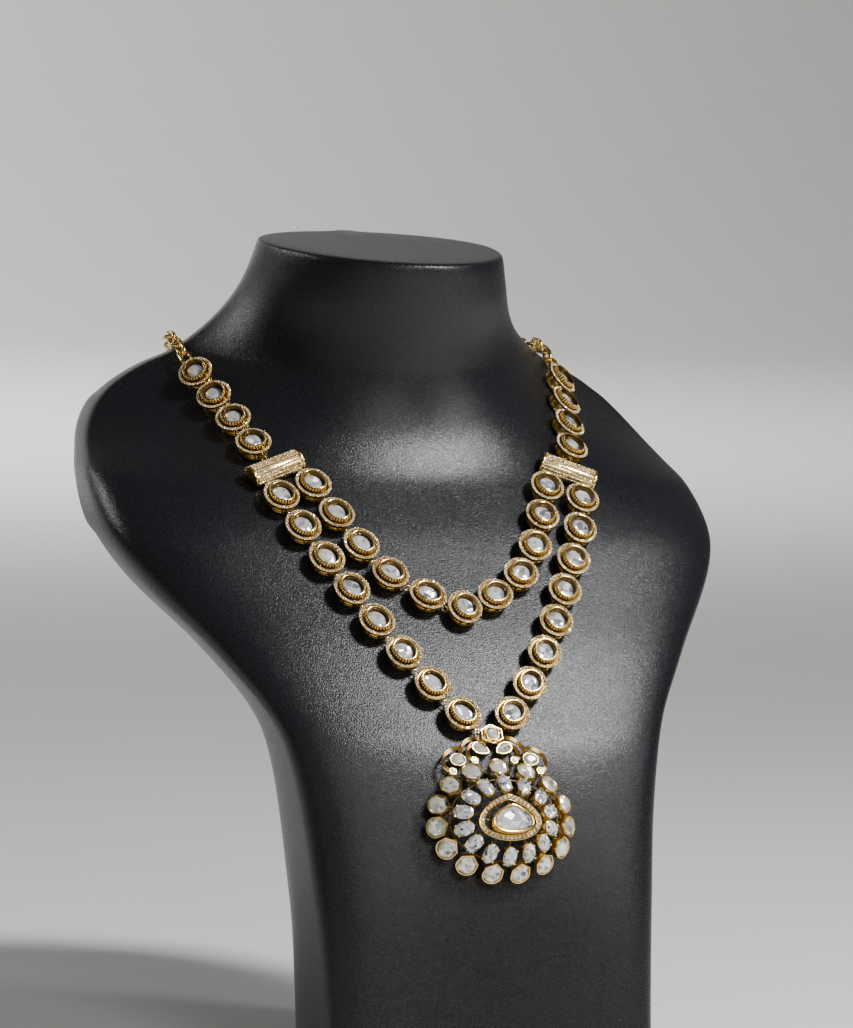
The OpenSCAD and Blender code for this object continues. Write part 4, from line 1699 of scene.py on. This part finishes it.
@dataclass
class Bust:
    """The neck bust, covered with black satin."""

    sharp: float = 50.0
    fineness: int = 2

    def build(self, shop: Workshop) -> None:
        """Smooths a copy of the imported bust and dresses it.

        Args:
            shop: The shared frame.
        """
        form = shop.merged_copy("bust")
        edit_all()
        bpy.ops.mesh.tris_convert_to_quads(face_threshold=math.radians(40), shape_threshold=math.radians(60))
        bpy.ops.mesh.select_all(action="DESELECT")
        bpy.ops.mesh.edges_select_sharp(sharpness=math.radians(self.sharp))
        bpy.ops.transform.edge_crease(value=1.0)
        leave_edit()
        skin = form.obj.modifiers.new("skin", "SUBSURF")
        skin.levels = skin.render_levels = self.fineness
        bpy.ops.object.modifier_apply(modifier=skin.name)
        shop.put(form.done(smooth=self.sharp), "bust_in_satin", Look.SATIN, "bust", scale=1.0)


@dataclass
class Studio:
    """Plain pale floor, soft light and the camera of the photograph."""

    azimuth: float = -20.0
    elevation: float = 4.0
    roll: float = 2.0
    place: Point = (-724.46, -1993.64, 315.88)
    focal: float = 6773.0
    image_width: float = 853.0
    sensor: float = 36.0
    floor_size: float = 12.0
    wall: float = 6.0
    sky: Colour = (0.75, 0.77, 0.8)
    sky_strength: float = 0.11
    lamps: tuple[tuple[str, Point, Point, float, float], ...] = (
        ("key", (0.68, -0.81, 1.37), CHEST, 0.28, 40.0),
        ("panel", (1.0, -0.88, 0.68), (0.05, -0.07, 0.08), 0.4, 5.0),
        ("front", (0.02, -1.36, 0.78), CHEST, 0.4, 4.5),
        ("fill", (-1.0, -1.0, 0.5), CHEST, 0.5, 0.6),
        ("rim", (-1.0, 0.85, 0.84), (-0.05, 0.03, 0.15), 0.25, 4.0),
        ("backdrop", (0.0, 3.2, 1.7), (0.0, 4.4, 0.0), 2.0, 110.0))

    def camera(self) -> None:
        """Sets up the camera."""
        a, e, r = (math.radians(v) for v in (self.azimuth, self.elevation, self.roll))
        back = Vector((math.sin(a) * math.cos(e), -math.cos(a) * math.cos(e), math.sin(e)))
        right = Vector((math.cos(a), math.sin(a), 0))
        up = back.cross(right)
        right, up = math.cos(r) * right + math.sin(r) * up, math.cos(r) * up - math.sin(r) * right
        data = bpy.data.cameras.new("camera")
        data.sensor_fit, data.sensor_width = "HORIZONTAL", self.sensor
        data.lens = self.focal * self.sensor / self.image_width
        camera = bpy.data.objects.new("camera", data)
        turn = Matrix((right, up, back)).transposed().to_4x4()
        camera.matrix_world = Matrix.Translation(Vector(self.place) * MM) @ turn
        bpy.context.collection.objects.link(camera)
        bpy.context.scene.camera = camera

    def lamp(self, name: str, place: Point, aim: Point, size: float, power: float) -> None:
        """A square soft lamp.

        Args:
            name: Its name.
            place: Where it stands, in metres.
            aim: The point that it faces.
            size: Its side.
            power: Its power in watts.
        """
        data = bpy.data.lights.new(name, "AREA")
        data.size, data.energy = size, power
        lamp = bpy.data.objects.new(name, data)
        lamp.visible_camera = False
        lamp.location = place
        lamp.rotation_euler = (Vector(aim) - Vector(place)).to_track_quat("-Z", "Y").to_euler()
        bpy.context.collection.objects.link(lamp)

    def stage(self) -> None:
        """The floor, bent up into a wall far behind."""
        deselect()
        bpy.ops.mesh.primitive_plane_add(size=self.floor_size, location=(0, 0, 0))
        floor = bpy.context.object
        bpy.ops.object.mode_set(mode="EDIT")
        bpy.ops.mesh.select_all(action="DESELECT")
        leave_edit()
        for edge in floor.data.edges:
            edge.select = all(floor.data.vertices[i].co.y > 0 for i in edge.vertices)
        bpy.ops.object.mode_set(mode="EDIT")
        bpy.ops.mesh.select_mode(type="EDGE")
        bpy.ops.mesh.extrude_edges_move(TRANSFORM_OT_translate={"value": (0, 0, self.wall)})
        bpy.ops.mesh.select_mode(type="VERT")
        bpy.ops.mesh.select_all(action="SELECT")
        leave_edit()
        bend = floor.modifiers.new("bend", "BEVEL")
        bend.width, bend.segments = 1.5, 12
        bpy.ops.object.modifier_apply(modifier=bend.name)
        bpy.ops.object.shade_smooth()
        floor.name = "floor"
        floor.data.materials.append(StageFinish().make("pale_paper"))

    def build(self) -> None:
        """Sets up camera, lamps, floor and surroundings."""
        self.camera()
        for lamp in self.lamps:
            self.lamp(*lamp)
        self.stage()
        world = bpy.context.scene.world or bpy.data.worlds.new("surroundings")
        bpy.context.scene.world = world
        world.use_nodes = True
        sky = next(n for n in world.node_tree.nodes if n.type == "BACKGROUND")
        sky.inputs["Color"].default_value = (*self.sky, 1.0)
        sky.inputs["Strength"].default_value = self.sky_strength


def main() -> None:
    """Builds every piece in order."""
    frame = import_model()
    shop = Workshop(frame["nodes"])
    Studio().build()
    sides = ("left", "right")
    for part in (Bust(),
                 Strand("upper", tuple(f"upper_links_{side}" for side in sides), "upper_stones"),
                 Strand("inner", ("inner_links",), "inner_stones"),
                 Strand("outer", tuple(f"outer_links_{side}" for side in sides), "outer_stones"),
                 SpacerBar(), Chains(), Pendant()):
        part.build(shop)
    log.info("in all %d triangles", shop.triangles)


if __name__ == "__main__":
    main()
